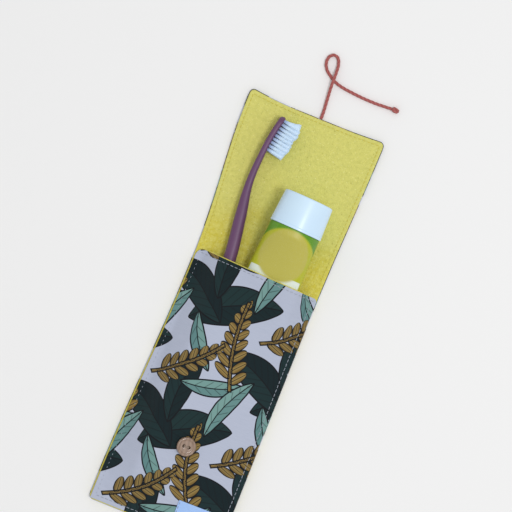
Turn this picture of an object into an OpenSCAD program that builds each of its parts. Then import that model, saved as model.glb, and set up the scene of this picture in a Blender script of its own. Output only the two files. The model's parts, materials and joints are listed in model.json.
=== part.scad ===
// Toothbrush travel pouch: a lined cloth pouch with a fold-over flap, a tie cord and a button.
// A toothbrush and a small toothpaste tube stand in its pocket.
// Millimetres, +Z up. The pouch lies on its back with the flap laid open towards +Y.
// The origin is the middle of the underside.

/* [Pouch] */
// Width of the cloth across the end of the flap
flap_end_w = 80; // [76:1:90]
// Width of the cloth across the bottom seam
bottom_w = 77; // [74:1:88]
// Length of the pouch with the flap laid open
pouch_l = 240; // [225:1:260]
// Depth of the pocket, from the bottom seam to its mouth
pocket_depth = 148; // [140:1:158]
// How far the left side is drawn in at the mouth
draw_left = 4.5; // [0:0.5:6]
// How far the right side is drawn in at the mouth
draw_right = 1.5; // [0:0.5:4]
// Thickness of the printed cotton
cotton_t = 0.7; // [0.4:0.1:1]
// Thickness of the yellow lining
lining_t = 1.5; // [0.8:0.1:2]
// Width of the back that shows left of the pocket
pocket_inset = 1.2; // [1:0.1:2]
// Width of the back that shows right of the pocket
pocket_inset_right = 0.5; // [0.5:0.1:2]
// Width of the lining that shows along the mouth
mouth_lining = 0.8; // [0.4:0.1:1.2]
// Width of the cotton that shows round the flap's lining
cotton_edge = 0.5; // [0.3:0.1:0.8]
// Width of the sewn margin round the pocket
seam_w = 4; // [3:0.5:5]
// Radius of the flap's corners
flap_corner_r = 5; // [3:0.5:8]
// Radius of the pocket's bottom corners
bottom_corner_r = 3; // [1:0.5:4]
// Distance from the pocket mouth to the flap's fold
fold_offset = 3; // [2:0.5:6]

/* [Stitching and label] */
// Distance of the stitching from the edge it follows
stitch_inset = 2.2; // [1.6:0.1:2.6]
// Width of the sewing thread
thread_w = 0.5; // [0.3:0.1:0.7]
// Thickness of the sewing thread
thread_t = 0.3; // [0.2:0.05:0.4]
// Width of the woven label
label_w = 23; // [16:1:26]
// Height of the woven label
label_h = 13; // [10:0.5:14]
// Thickness of the woven label
label_t = 0.4; // [0.3:0.05:0.6]
// Distance of the woven label from the right side of the pocket
label_right = 6.5; // [5:0.5:9]
// Lower edge of the woven label above the bottom seam
label_rise = 5.5; // [5:0.5:8]

/* [Button and tie cord] */
// Diameter of the button
button_d = 10.7; // [9:0.1:13]
// Thickness of the button
button_t = 2.4; // [2:0.1:3]
// Diameter of each sewing hole in the button
button_hole_d = 1.7; // [1.5:0.1:2]
// Distance between the two sewing holes
button_hole_pitch = 3; // [2.6:0.1:3.6]
// Height of the thread shank under the button
button_shank_h = 1.2; // [0.8:0.1:2]
// Height of the button above the bottom seam
button_rise = 47.5; // [42:0.5:52]
// Distance of the button from the middle of the pouch
button_x = 0.5; // [0:0.5:5]
// Diameter of the tie cord
cord_d = 1.8; // [1.5:0.1:2]
// Distance of the tie cord from the middle of the flap's end
cord_x = 2.3; // [0:0.1:4]
// Diameter of the knot in the cord's end
knot_d = 3.4; // [3:0.1:4.2]
// Length of the knot in the cord's end
knot_l = 4.2; // [3.6:0.1:5]

/* [Toothbrush] */
// Length of the bristled head
head_l = 22; // [20:0.5:26]
// Length from the head to the thinnest part of the neck
neck_l = 18; // [15:0.5:22]
// Length from the thinnest part of the neck to the end of the handle
grip_l = 125; // [118:1:130]
// Width of the head
head_w = 9.5; // [9:0.1:11]
// Depth of the head
head_depth = 3.5; // [3.2:0.1:4.4]
// Width of the neck where it is thinnest
neck_w = 5.4; // [4.5:0.1:6]
// Depth of the neck where it is thinnest
neck_depth = 4.2; // [3.8:0.1:5]
// Width of the grip where it is thickest
grip_w = 10.4; // [9:0.1:11]
// Depth of the grip where it is thickest
grip_depth = 8.2; // [7:0.1:8.6]
// Length of the bristles
bristle_l = 9.8; // [8:0.1:11]
// Diameter of the tuft holes
tuft_d = 1.6; // [1.4:0.05:1.7]
// Distance between the rows of tufts
row_pitch = 2.8; // [2.5:0.05:3]
// How far the brush stands out of the pocket
brush_show = 85; // [75:1:87]
// Distance of the brush from the middle of the pouch, at the mouth
brush_x = -15.5; // [-16.5:0.5:-15]
// How far the brush can be pushed further in
brush_in = 20; // [10:1:24]

/* [Toothpaste tube] */
// Diameter of the tube at its shoulder
tube_d = 28.5; // [26:0.5:29]
// Length of the sleeve from the shoulder to its crimped end
sleeve_l = 83; // [78:1:88]
// Width of the crimped end
crimp_w = 36; // [33:0.5:37]
// Length of the flat crimp
crimp_l = 6; // [4:0.5:8]
// Thickness of the crimp
crimp_t = 1.6; // [1.4:0.1:2]
// Thickness of the sleeve's wall
sleeve_t = 0.5; // [0.3:0.05:0.6]
// Diameter of the cap at its lower edge
cap_d = 29.6; // [29.5:0.1:31]
// Diameter of the cap at its top
cap_top_d = 27.6; // [26:0.1:29]
// Height of the cap
cap_h = 18.2; // [17:0.1:20]
// Wall of the cap
cap_wall = 1.4; // [1:0.1:1.8]
// Diameter of the threaded neck under the cap
nozzle_d = 13; // [12:0.5:14]
// Diameter of the bore that the paste comes out of
nozzle_bore_d = 6; // [5:0.5:8]
// Length of the threaded neck
nozzle_l = 8; // [7:0.5:8.5]
// How far the shoulder of the tube stands out of the pocket
tube_show = 30; // [27:1:34]
// Distance of the tube from the middle of the pouch, at the mouth
tube_x = 10.5; // [10:0.1:12]
// Turn of the tube against the pouch, in degrees
tube_turn = 2.5; // [0:0.1:3]

/* [Hidden] */
$fn = 48;

// Clearances
fold_gap = 0.3;
lie_gap = 0.3;
cloth_gap = 0.9;
thread_gap = 0.05;
label_gap = 0.2;
press_gap = 0.02;
sleeve_gap = 0.2;
thread_run_gap = 0.35;

// Heights and places of the cloth
panel_t = cotton_t + lining_t;
bottom_y = -pouch_l / 2;
top_y = pouch_l / 2;
mouth_y = bottom_y + pocket_depth;
flap_l = pouch_l - pocket_depth;
fold_y = mouth_y + fold_offset;
pocket_low_y = bottom_y + pocket_inset;
edge_steps = 24;

// Grid of the pocket cloth
pocket_cols = 20;
pocket_rows = 19;

// Places of the toothbrush
brush_l = head_l + neck_l + grip_l;
brush_tip_y = mouth_y + brush_show;
brush_end_y = brush_tip_y - brush_l;
brush_z = panel_t + lie_gap + grip_w / 2;
neck_d = head_l + neck_l;
tip_round = 4;
end_round = 5;
ring_sides = 16;

// Along the brush from its tip: distance, sideways place of the spine, half depth, half width
brush_knots = [
    [0, -1.35, head_depth / 2, head_w / 2],
    [head_l / 2, -3.55, head_depth / 2, head_w / 2],
    [head_l, -4.85, head_depth / 2, head_w * 0.45],
    [neck_d, -5.4, neck_depth / 2, neck_w / 2],
    [neck_d + grip_l * 0.15, -3, grip_depth * 0.39, grip_w * 0.34],
    [neck_d + grip_l * 0.33, 0, grip_depth * 0.44, grip_w * 0.44],
    [neck_d + grip_l * 0.6, 1.5, grip_depth / 2, grip_w / 2],
    [brush_l, -1.5, grip_depth * 0.44, grip_w * 0.45]
];

// Tufts
tuft_count = 9;
tuft_first = 2.3;
tuft_pitch = (head_l - 2 * tuft_first) / (tuft_count - 1);
tuft_depth = 1.5;
anchor_depth = 0.8;
anchor_t = 0.3;
strand_r = 0.17;
strand_spread = 1.38;
strand_rings = [[1, 0], [5, 0.31], [10, 0.6]];
tuft_trim = 0.35;
tuft_lean = 6;

// Places of the toothpaste tube
tube_z = panel_t + lie_gap + cap_d / 2;
shoulder_y = mouth_y + tube_show;
sleeve_low_z = tube_z - tube_d / 2;
sleeve_sides = 32;
sleeve_steps = 14;
sleeve_fall = 1.7;
shoulder_h = 3.5;
shoulder_rise = 1.2;
sleeve_round_l = shoulder_h + 1;
nozzle_wall = (nozzle_d - nozzle_bore_d) / 2;
liner_t = 0.8;
liner_d = nozzle_d - 0.4;
socket_r = nozzle_d / 2 + thread_run_gap;
socket_wall = 1.3;
cap_seat = 0.3;

// Route of the tie cord from the middle of the flap's end: sideways, outwards, height
cord_route = [
    [0, 0, 1.1], [-0.1, 3, 1], [-0.3, 6, 1], [-0.8, 11, 1.4], [-1.3, 16.5, 2.5], [-1.6, 22, 3.4],
    [-1.7, 26.5, 2.6], [-2.2, 31, 1.4], [-3.7, 34.3, 1], [-6.4, 35.2, 1], [-8.6, 33.2, 1],
    [-8.8, 29.7, 1], [-7, 26.3, 1], [-3.6, 23.6, 1], [-0.2, 21.7, 1], [4.6, 20.4, 1],
    [10.7, 19.7, 1], [17.3, 19.2, 1], [24.7, 19.1, 1], [30.5, 19.4, 1.2], [34, 19.6, 1.7]
];
cord_sides = 8;
cord_steps = 3;

// Place and tilt of the button on the pocket
button_y = bottom_y + button_rise;

// Corner of the woven label
label_y = bottom_y + label_rise;
label_x = bottom_w / 2 - pocket_inset_right - label_right - label_w;
probe = 2;

// Value of a smooth curve through knots, read from column c at place t
function knot_below(t, k, i = 0) = i >= len(k) - 2 || t < k[i + 1][0] ? i : knot_below(t, k, i + 1);
function knot_slope(k, i, c) =
    let(a = max(i - 1, 0), b = min(i + 1, len(k) - 1)) (k[b][c] - k[a][c]) / (k[b][0] - k[a][0]);
function curve(t, k, c) =
    let(i = knot_below(t, k), w = k[i + 1][0] - k[i][0], u = (t - k[i][0]) / w)
    k[i][c] * (1 - 3 * u * u + 2 * u * u * u) + k[i + 1][c] * (3 * u * u - 2 * u * u * u)
    + w * knot_slope(k, i, c) * (u - 2 * u * u + u * u * u)
    + w * knot_slope(k, i + 1, c) * (u * u * u - u * u);

// A rise from 0 to 1 that flattens at the top
function ease(u) = u <= 0 ? 0 : u >= 1 ? 1 : sin(90 * u);

// A closed oval of half sizes a and b, squarer as power grows
function oval(a, b, power, sides) = [
    for (i = [0:sides - 1])
        let(t = 360 * i / sides, c = cos(t), s = sin(t))
        [a * sign(c) * pow(abs(c), 2 / power), b * sign(s) * pow(abs(s), 2 / power)]
];

function unit(v) = v / norm(v);

// Sides of the cloth, drawn in most at the mouth
function half_w(y) = bottom_w / 2 + (flap_end_w - bottom_w) / 2 * (y - bottom_y) / pouch_l;
function drawn(y, amount) =
    let(reach = y < mouth_y ? (mouth_y - y) / pocket_depth : (y - mouth_y) / flap_l)
    amount * pow(cos(90 * min(1, reach)), 2);
function side_l(y) = drawn(y, draw_left) - half_w(y);
function side_r(y) = half_w(y) - drawn(y, draw_right);
function pocket_l(y) = side_l(y) + pocket_inset;
function pocket_r(y) = side_r(y) - pocket_inset_right;

// Corner of a panel as an arc, or as a point where it has no radius
function corner(x, y, r, from) =
    r == 0 ? [[x, y]] : [for (i = [0:8]) let(t = from + i * 90 / 8) [x + r * cos(t), y + r * sin(t)]];

// Outline of a strip of cloth between two heights, inset from its sides
function strip_ys(from, to) = [for (i = [1:edge_steps - 1]) from + (to - from) * i / edge_steps];
function strip(y0, y1, r0, r1, inset_l, inset_r) = concat(
    corner(side_r(y0) - inset_r - r0, y0 + r0, r0, -90),
    [for (y = strip_ys(y0 + r0, y1 - r1)) [side_r(y) - inset_r, y]],
    corner(side_r(y1) - inset_r - r1, y1 - r1, r1, 0),
    corner(side_l(y1) + inset_l + r1, y1 - r1, r1, 90),
    [for (y = strip_ys(y1 - r1, y0 + r0)) [side_l(y) + inset_l, y]],
    corner(side_l(y0) + inset_l + r0, y0 + r0, r0, 180)
);

// Spine and section of the brush at a height, and the tube's section at a distance from its shoulder
function brush_at(y, c) = curve(min(max(brush_tip_y - y, 0), brush_l), brush_knots, c);
function spine_x(y) = brush_x + brush_at(y, 1);
function tube_share(s) = min(1, max(0, (s - sleeve_round_l) / (sleeve_l - crimp_l - sleeve_round_l)));
function tube_half_w(s) = (tube_d + (crimp_w - tube_d) * tube_share(s)) / 2;
function tube_thick(s) = crimp_t + (tube_d - crimp_t) * pow(1 - tube_share(s), sleeve_fall);
function tube_power(s) = 2 + 0.5 * sin(180 * tube_share(s));
function tube_mid_x(y) = tube_x + (y - mouth_y) * tan(tube_turn);

// Points that hold the pocket cloth up at a height: sideways place, room under the cloth
function fade_to_seam(y, low) = ease((y - pocket_low_y - seam_w) / (low - pocket_low_y - seam_w));
function brush_props(y) =
    let(room = (grip_w + lie_gap + cloth_gap) * fade_to_seam(y, brush_end_y - brush_in - 1), x = spine_x(y))
    [for (side = [-1, 1]) [x + side * grip_depth * 0.4, room]];
function tube_props(y) =
    let(
        s = shoulder_y - y,
        a = tube_half_w(s) + cloth_gap,
        lift = sleeve_low_z - panel_t + cloth_gap,
        high = (tube_thick(s) + lift) * fade_to_seam(y, shoulder_y - sleeve_l),
        low = (tube_thick(s) / 2 + lift) * fade_to_seam(y, shoulder_y - sleeve_l),
        power = tube_power(s)
    )
    [for (t = [-1, -0.92, -0.8, -0.5, 0, 0.5, 0.8, 0.92, 1])
        [tube_mid_x(y) + a * t, low + (high - low) * pow(1 - pow(abs(t), power), 1 / power)]];
function props(y) = concat(
    [[pocket_l(y) + seam_w, 0], [pocket_r(y) - seam_w, 0]], brush_props(y), tube_props(y)
);

// Room under the pocket cloth, which is pulled taut over the points that hold it up
function taut(x, pts) = max([
    for (p = pts) for (q = pts)
        if (p[0] <= x && x <= q[0] && p[0] < q[0]) p[1] + (q[1] - p[1]) * (x - p[0]) / (q[0] - p[0])
]);
function on_seam(x, y) =
    x <= pocket_l(y) + seam_w || x >= pocket_r(y) - seam_w || y <= pocket_low_y + seam_w;
function room(x, y) = on_seam(x, y) ? 0 : taut(x, props(y));

// Stations of the pocket cloth, with rows on the seam, on the mouth's stitching and where the cotton ends
pocket_ys = concat(
    [pocket_low_y],
    [for (i = [0:pocket_rows - 2])
        pocket_low_y + seam_w + (mouth_y - stitch_inset - pocket_low_y - seam_w) * i / (pocket_rows - 2)],
    [mouth_y - mouth_lining, mouth_y]
);
function pocket_xs(y) =
    let(l = pocket_l(y), r = pocket_r(y), w = r - l - 2 * seam_w)
    concat([l], [for (i = [0:pocket_cols]) l + seam_w + w * i / pocket_cols], [r]);
pocket_under = [
    for (y = pocket_ys)
        let(pts = props(y), flat = y <= pocket_low_y + seam_w, xs = pocket_xs(y), last = len(xs) - 2)
        [for (i = [0:len(xs) - 1]) [xs[i], y, panel_t + (flat || i <= 1 || i >= last ? 0 : taut(xs[i], pts))]]
];
function lifted(grid, h) = [for (row = grid) [for (p = row) p + [0, 0, h]]];

// The same grid for the cotton, which ends short of the lining at the mouth
cotton_under = [for (i = [0:len(pocket_ys) - 2]) pocket_under[i]];

// Slopes of the pocket cloth under the button, and its top there
button_x_slope = (room(button_x + probe, button_y) - room(button_x - probe, button_y)) / (2 * probe);
button_y_slope = (room(button_x, button_y + probe) - room(button_x, button_y - probe)) / (2 * probe);
button_top = panel_t + room(button_x, button_y) + panel_t;
button_normal = unit([-button_x_slope, -button_y_slope, 1]);
echo(button_seat = [button_x, button_y, button_top], button_normal = button_normal);
echo(fold = [0, fold_y, -fold_gap], tube_axis = [sin(tube_turn), cos(tube_turn), 0]);
echo(cap_point = [tube_mid_x(shoulder_y), shoulder_y, tube_z]);

// A closed skin of triangles round two grids of points, one above the other
module between(low, high) {
    rows = len(low);
    cols = len(low[0]);
    count = rows * cols;
    points = concat([for (row = low) each row], [for (row = high) each row]);
    function at(i, j, top) = i * cols + j + (top ? count : 0);
    skin = [
        for (i = [0:rows - 2]) for (j = [0:cols - 2]) each [
            [at(i, j, false), at(i, j + 1, false), at(i + 1, j + 1, false)],
            [at(i, j, false), at(i + 1, j + 1, false), at(i + 1, j, false)],
            [at(i, j, true), at(i + 1, j + 1, true), at(i, j + 1, true)],
            [at(i, j, true), at(i + 1, j, true), at(i + 1, j + 1, true)]
        ]
    ];
    ends = [
        for (j = [0:cols - 2]) each [
            [at(0, j, false), at(0, j, true), at(0, j + 1, true)],
            [at(0, j, false), at(0, j + 1, true), at(0, j + 1, false)],
            [at(rows - 1, j, false), at(rows - 1, j + 1, true), at(rows - 1, j, true)],
            [at(rows - 1, j, false), at(rows - 1, j + 1, false), at(rows - 1, j + 1, true)]
        ]
    ];
    sides = [
        for (i = [0:rows - 2]) each [
            [at(i, 0, false), at(i + 1, 0, true), at(i, 0, true)],
            [at(i, 0, false), at(i + 1, 0, false), at(i + 1, 0, true)],
            [at(i, cols - 1, false), at(i, cols - 1, true), at(i + 1, cols - 1, true)],
            [at(i, cols - 1, false), at(i + 1, cols - 1, true), at(i + 1, cols - 1, false)]
        ]
    ];
    polyhedron(points, concat(skin, ends, sides));
}

// A closed skin of triangles over rings of points, one after the other
module loft(rings) {
    sides = len(rings[0]);
    last = (len(rings) - 1) * sides;
    skin = [
        for (i = [0:len(rings) - 2]) for (j = [0:sides - 1])
            let(a = i * sides + j, b = i * sides + (j + 1) % sides)
            each [[a, a + sides, b + sides], [a, b + sides, b]]
    ];
    caps = [for (j = [1:sides - 2]) each [[0, j, j + 1], [last, last + j + 1, last + j]]];
    polyhedron([for (r = rings) each r], concat(skin, caps));
}

module panel(y0, y1, r0, r1, inset, z, t) {
    translate([0, 0, z]) linear_extrude(t) polygon(strip(y0, y1, r0, r1, inset, inset));
}

module back_outer() {
    color("slategray") panel(bottom_y, fold_y - fold_gap / 2, bottom_corner_r, 0, 0, 0, cotton_t);
}

module back_lining() {
    color("khaki")
        panel(
            bottom_y + cotton_edge, fold_y - fold_gap / 2, bottom_corner_r - cotton_edge, 0, cotton_edge,
            cotton_t, lining_t
        );
}

module flap_outer() {
    color("slategray") panel(fold_y + fold_gap / 2, top_y, 0, flap_corner_r, 0, 0, cotton_t);
}

module flap_lining() {
    color("khaki")
        panel(
            fold_y + fold_gap / 2, top_y - cotton_edge, 0, flap_corner_r - cotton_edge, cotton_edge,
            cotton_t, lining_t
        );
}

module pocket_lining() {
    color("khaki") between(pocket_under, lifted(pocket_under, lining_t));
}

module pocket_outer() {
    color("lightsteelblue") between(lifted(cotton_under, lining_t), lifted(cotton_under, panel_t));
}

// A line of sewing that follows the sides and one end of a strip of cloth
module stitch_line(y0, y1, end_low, inset_l, inset_r, z) {
    open = end_low ? thread_w : -thread_w;
    translate([0, 0, z + thread_gap]) linear_extrude(thread_t) difference() {
        polygon(strip(y0, y1, 0, 0, inset_l, inset_r));
        polygon(strip(y0 + open, y1 + open, 0, 0, inset_l + thread_w, inset_r + thread_w));
    }
}

module pocket_seam_thread() {
    color("whitesmoke")
        stitch_line(
            pocket_low_y + stitch_inset, mouth_y - stitch_inset - 2 * thread_w, true,
            pocket_inset + stitch_inset, pocket_inset_right + stitch_inset, 2 * panel_t
        );
}

module flap_edge_thread() {
    color("gold")
        stitch_line(fold_y + fold_offset, top_y - stitch_inset, false, stitch_inset, stitch_inset, panel_t);
}

// A line of sewing across the pocket, along the row of the cloth nearest its mouth
module mouth_thread() {
    row = lifted([pocket_under[len(pocket_ys) - 3]], 2 * thread_gap + panel_t)[0];
    low = [for (dy = [-thread_w / 2, thread_w / 2]) [for (p = row) p + [0, dy, 0]]];
    color("whitesmoke") between(low, lifted(low, thread_t));
}

// A patch of cloth that lies on the pocket
function patch(x0, y0, w, h, rise) = [
    for (j = [0:4]) let(y = y0 + h * j / 4) [
        for (i = [0:8]) let(x = x0 + w * i / 8) [x, y, 2 * panel_t + room(x, y) + rise]
    ]
];

module woven_label() {
    low = patch(label_x, label_y, label_w, label_h, label_gap);
    color("aliceblue") between(low, lifted(low, label_t));
}

module label_thread() {
    rise = label_gap + label_t + thread_gap;
    for (x = [label_x + thread_w, label_x + label_w - 2 * thread_w]) {
        low = patch(x, label_y + thread_w, thread_w, label_h - 2 * thread_w, rise);
        color("white") between(low, lifted(low, thread_t));
    }
}

// Puts a shape drawn round +Z on the pocket cloth where the button is sewn
module on_button_seat() {
    translate([button_x, button_y, button_top])
        rotate([0, acos(button_normal[2]), atan2(button_normal[1], button_normal[0])])
            rotate([0, 0, -atan2(button_normal[1], button_normal[0])])
                children();
}

module button() {
    r = button_d / 2;
    rim = button_t * 0.35;
    dish = button_t * 0.2;
    color("rosybrown") on_button_seat() translate([0, 0, button_shank_h]) difference() {
        rotate_extrude()
            polygon(concat(
                [[0, 0], [r * 0.55, 0]],
                [for (i = [0:6]) let(t = -90 + 30 * i) [r - rim + rim * cos(t), button_t / 2 * (1 + sin(t))]],
                [[r * 0.62, button_t - dish], [0, button_t - dish]]
            ));
        for (side = [-1, 1]) translate([side * button_hole_pitch / 2, 0, -1])
            cylinder(d = button_hole_d, h = button_t + 2);
    }
}

module button_thread() {
    strand_d = button_hole_d * 0.6;
    top = button_shank_h + button_t * 0.8;
    bridge_d = strand_d * 0.8;
    color("whitesmoke") on_button_seat() {
        translate([0, 0, thread_gap + 0.3])
            cylinder(d = button_hole_pitch, h = button_shank_h - 2 * thread_gap - 0.3);
        for (side = [-1, 1]) translate([side * button_hole_pitch / 2, 0, button_shank_h / 2])
            cylinder(d = strand_d, h = top - button_shank_h / 2 + strand_d);
        translate([-button_hole_pitch / 2, 0, top + bridge_d / 2 + thread_gap])
            rotate([0, 90, 0]) cylinder(d = bridge_d, h = button_hole_pitch);
    }
}

// Points and rings along the tie cord
function cord_point(k) = [cord_x, top_y, 0] + k;
cord_knots = [for (i = [0:len(cord_route) - 1]) concat([i], cord_route[i])];
function cord_mid(u) = [for (c = [1:3]) curve(u, cord_knots, c)];
cord_us = [for (i = [0:(len(cord_route) - 1) * cord_steps]) i / cord_steps];
cord_line = [for (u = cord_us) cord_point(cord_mid(u))];
function cord_heading(i) =
    i == 0 ? [0, 1, 0] : unit(cord_line[min(i + 1, len(cord_line) - 1)] - cord_line[i - 1]);
cord_gap = min([
    for (i = [0:len(cord_line) - 1]) for (j = [i + 9:1:len(cord_line) - 1])
        norm(cord_line[i] - cord_line[j]) - cord_d
]);
cord_pieces = [for (i = [1:len(cord_line) - 1]) norm(cord_line[i] - cord_line[i - 1])];
echo(cord_gap = cord_gap, cord_length = cord_pieces * [for (l = cord_pieces) 1] + knot_l);

module tie_cord() {
    rings = [
        for (i = [0:len(cord_line) - 1])
            let(t = cord_heading(i), side = unit(cross([0, 0, 1], t)), up = cross(t, side))
            [for (j = [0:cord_sides - 1]) let(a = 360 * (j + 0.5) / cord_sides)
                cord_line[i] + cord_d / 2 * (cos(a) * side + sin(a) * up)]
    ];
    color("indianred") loft(rings);
}

module cord_knot() {
    r = knot_d / 2;
    place = cord_line[len(cord_line) - 1];
    color("indianred") translate([place[0] + thread_gap, place[1], place[2]]) rotate([0, 90, 0])
        rotate_extrude()
            polygon([for (t = [0:15:180]) [r * pow(sin(t), 0.6), knot_l / 2 * (1 - cos(t))]]);
}

// Ring of the brush at a distance from its tip, rounded off towards both ends
function brush_ring(d) =
    let(
        tip = d < tip_round ? sqrt(1 - pow(1 - d / tip_round, 2)) : 1,
        end = brush_l - d < end_round ? sqrt(1 - pow(1 - (brush_l - d) / end_round, 2)) : 1,
        power = d < head_l ? 3.6 : d > neck_d ? 2.5 : 3.6 - 1.1 * (d - head_l) / neck_l,
        y = brush_tip_y - d
    )
    [for (p = oval(brush_at(y, 2) * min(1, 0.25 + tip) * end, brush_at(y, 3) * tip * end, power, ring_sides))
        [spine_x(y) + p[0], y, brush_z + p[1]]];

brush_ds = concat(
    [0.1, 0.5, 1.2, 2.4], [for (i = [0:6]) tip_round + (head_l - tip_round) * i / 6],
    [for (i = [1:4]) head_l + neck_l * i / 4], [for (i = [1:13]) neck_d + (grip_l - end_round) * i / 13],
    [for (k = [3, 1.6, 0.7, 0.15]) brush_l - k]
);

// Seat of tuft i in the row at height z: place on the head's face and the way it points
function tuft_y(i) = brush_tip_y - tuft_first - tuft_pitch * i;
function tuft_angle(i) = atan((spine_x(tuft_y(i) - 1) - spine_x(tuft_y(i) + 1)) / 2)
    + tuft_lean * (1 - 2 * i / (tuft_count - 1)) / 2;
module at_tuft(i, z) {
    y = tuft_y(i);
    translate([spine_x(y) + brush_at(y, 2), y, brush_z + z])
        rotate([0, 0, tuft_angle(i)]) rotate([0, 90, 0])
            children();
}

module brush_handle() {
    color("rebeccapurple") difference() {
        loft([for (d = brush_ds) brush_ring(d)]);
        for (i = [0:tuft_count - 1]) for (row = [-1, 0, 1])
            at_tuft(i, row * row_pitch) translate([0, 0, -tuft_depth - anchor_depth - 3 * press_gap])
                cylinder(d = tuft_d, h = tuft_depth + anchor_depth + 2);
    }
}

// A three-sided strand from a place in the tuft's root to its tip
module strand(x, y, l) {
    rings = [
        for (end = [[-0.3, 1], [l, strand_spread]])
            [for (t = [0, 120, 240]) [x * end[1] + strand_r * cos(t), y * end[1] + strand_r * sin(t), end[0]]]
    ];
    loft(rings);
}

// One tuft: the root that sits in its hole, and the strands that stand out of it
module tuft(l) {
    translate([0, 0, -tuft_depth]) cylinder(d = tuft_d - 2 * press_gap, h = tuft_depth);
    for (ring = strand_rings) for (k = [0:ring[0] - 1]) let(t = 360 * k / ring[0])
        strand(ring[1] * cos(t) * tuft_d / 1.6, ring[1] * sin(t) * tuft_d / 1.6, l);
}

module bristle_row(row) {
    color("aliceblue") for (i = [0:tuft_count - 1])
        at_tuft(i, row * row_pitch) tuft(bristle_l + (i % 2 == 0 ? 0 : tuft_trim));
}

module bristle_row_upper() { bristle_row(1); }
module bristle_row_middle() { bristle_row(0); }
module bristle_row_lower() { bristle_row(-1); }

// Metal plates that pin the tufts at the bottom of their holes
module tuft_anchors() {
    wide = tuft_d * 0.8;
    color("darkgoldenrod") for (i = [0:tuft_count - 1]) for (row = [-1, 0, 1])
        at_tuft(i, row * row_pitch)
            translate([-anchor_t / 2, -wide / 2, -tuft_depth - anchor_depth - press_gap])
                cube([anchor_t, wide, anchor_depth]);
}

// Puts a shape drawn along +Z from the tube's shoulder in its place
module along_tube() {
    translate([tube_mid_x(shoulder_y), shoulder_y, tube_z])
        rotate([0, 0, -tube_turn]) rotate([-90, 0, 0])
            children();
}

// Ring of the sleeve at a distance from the shoulder, drawn in by a wall
function sleeve_ring(s, wall) =
    let(
        thick = tube_thick(s),
        power = tube_power(s),
        x0 = tube_mid_x(shoulder_y) - s * sin(tube_turn)
    )
    [for (p = oval(tube_half_w(s) - wall, thick / 2 - wall, power, sleeve_sides))
        [
            x0 + p[0] * cos(tube_turn), shoulder_y - s * cos(tube_turn) - p[0] * sin(tube_turn),
            sleeve_low_z + thick / 2 + p[1]
        ]];
function sleeve_stations(from, to) = [for (i = [0:sleeve_steps]) from + (to - from) * i / sleeve_steps];

module tube_sleeve() {
    inner_end = sleeve_l - crimp_l - 4;
    outer = concat([0], sleeve_stations(sleeve_round_l, sleeve_l - crimp_l), [sleeve_l]);
    inner = concat([-1], sleeve_stations(sleeve_round_l, inner_end));
    color("yellowgreen") difference() {
        loft([for (s = outer) sleeve_ring(s, 0)]);
        loft([for (s = inner) sleeve_ring(s, sleeve_t)]);
    }
}

module toothpaste() {
    inner_end = sleeve_l - crimp_l - 8;
    wall = sleeve_t + sleeve_gap;
    color("white") loft([for (s = sleeve_stations(sleeve_round_l, inner_end)) sleeve_ring(s, wall)]);
}

module tube_shoulder() {
    skirt_r = (tube_d / 2 - sleeve_t) * cos(180 / sleeve_sides) - sleeve_gap;
    color("white") along_tube() rotate_extrude()
        polygon([
            [nozzle_bore_d / 2, -nozzle_wall / 2], [skirt_r - 1.2, -shoulder_h], [skirt_r, -shoulder_h],
            [skirt_r, 0], [nozzle_d / 2, shoulder_rise], [nozzle_d / 2, shoulder_rise + nozzle_l],
            [nozzle_bore_d / 2, shoulder_rise + nozzle_l]
        ]);
}

module tube_cap() {
    r0 = cap_d / 2;
    r1 = cap_top_d / 2;
    lip = 1;
    seal_z = shoulder_rise + nozzle_l + liner_t + 2 * press_gap;
    color("aliceblue") along_tube() translate([0, 0, cap_seat]) rotate_extrude()
        polygon([
            [0, seal_z], [socket_r, seal_z], [socket_r, 2], [socket_r + socket_wall, 2],
            [socket_r + socket_wall, cap_h - cap_wall], [r1 - cap_wall, cap_h - cap_wall], [r0 - cap_wall, 0],
            [r0, 0], [r1, cap_h - lip], [r1 - lip * 0.3, cap_h - lip * 0.3], [r1 - lip, cap_h], [0, cap_h]
        ]);
}

module cap_liner() {
    color("lightgray") along_tube() translate([0, 0, cap_seat + shoulder_rise + nozzle_l + press_gap])
        cylinder(d = liner_d, h = liner_t);
}

back_outer();
back_lining();
pocket_outer();
pocket_lining();
pocket_seam_thread();
mouth_thread();
woven_label();
label_thread();
flap_outer();
flap_lining();
flap_edge_thread();
tie_cord();
cord_knot();
button();
button_thread();
brush_handle();
bristle_row_upper();
bristle_row_middle();
bristle_row_lower();
tuft_anchors();
tube_sleeve();
tube_shoulder();
toothpaste();
tube_cap();
cap_liner();
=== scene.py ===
# %% [markdown]
# # A toothbrush pouch, laid open
# The real object is a slim cloth pouch for a toothbrush and a small tube of toothpaste. A long back panel
# carries a pocket on its lower part, and the rest is a flap that folds over and ties down with a cord. The
# hard shapes come from a packed CAD model, which fixes every size and every joint. This notebook dresses that
# model: soft pieces are rebuilt as cloth, thread and cord, and every surface gets a worked-out finish.

import json

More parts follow.
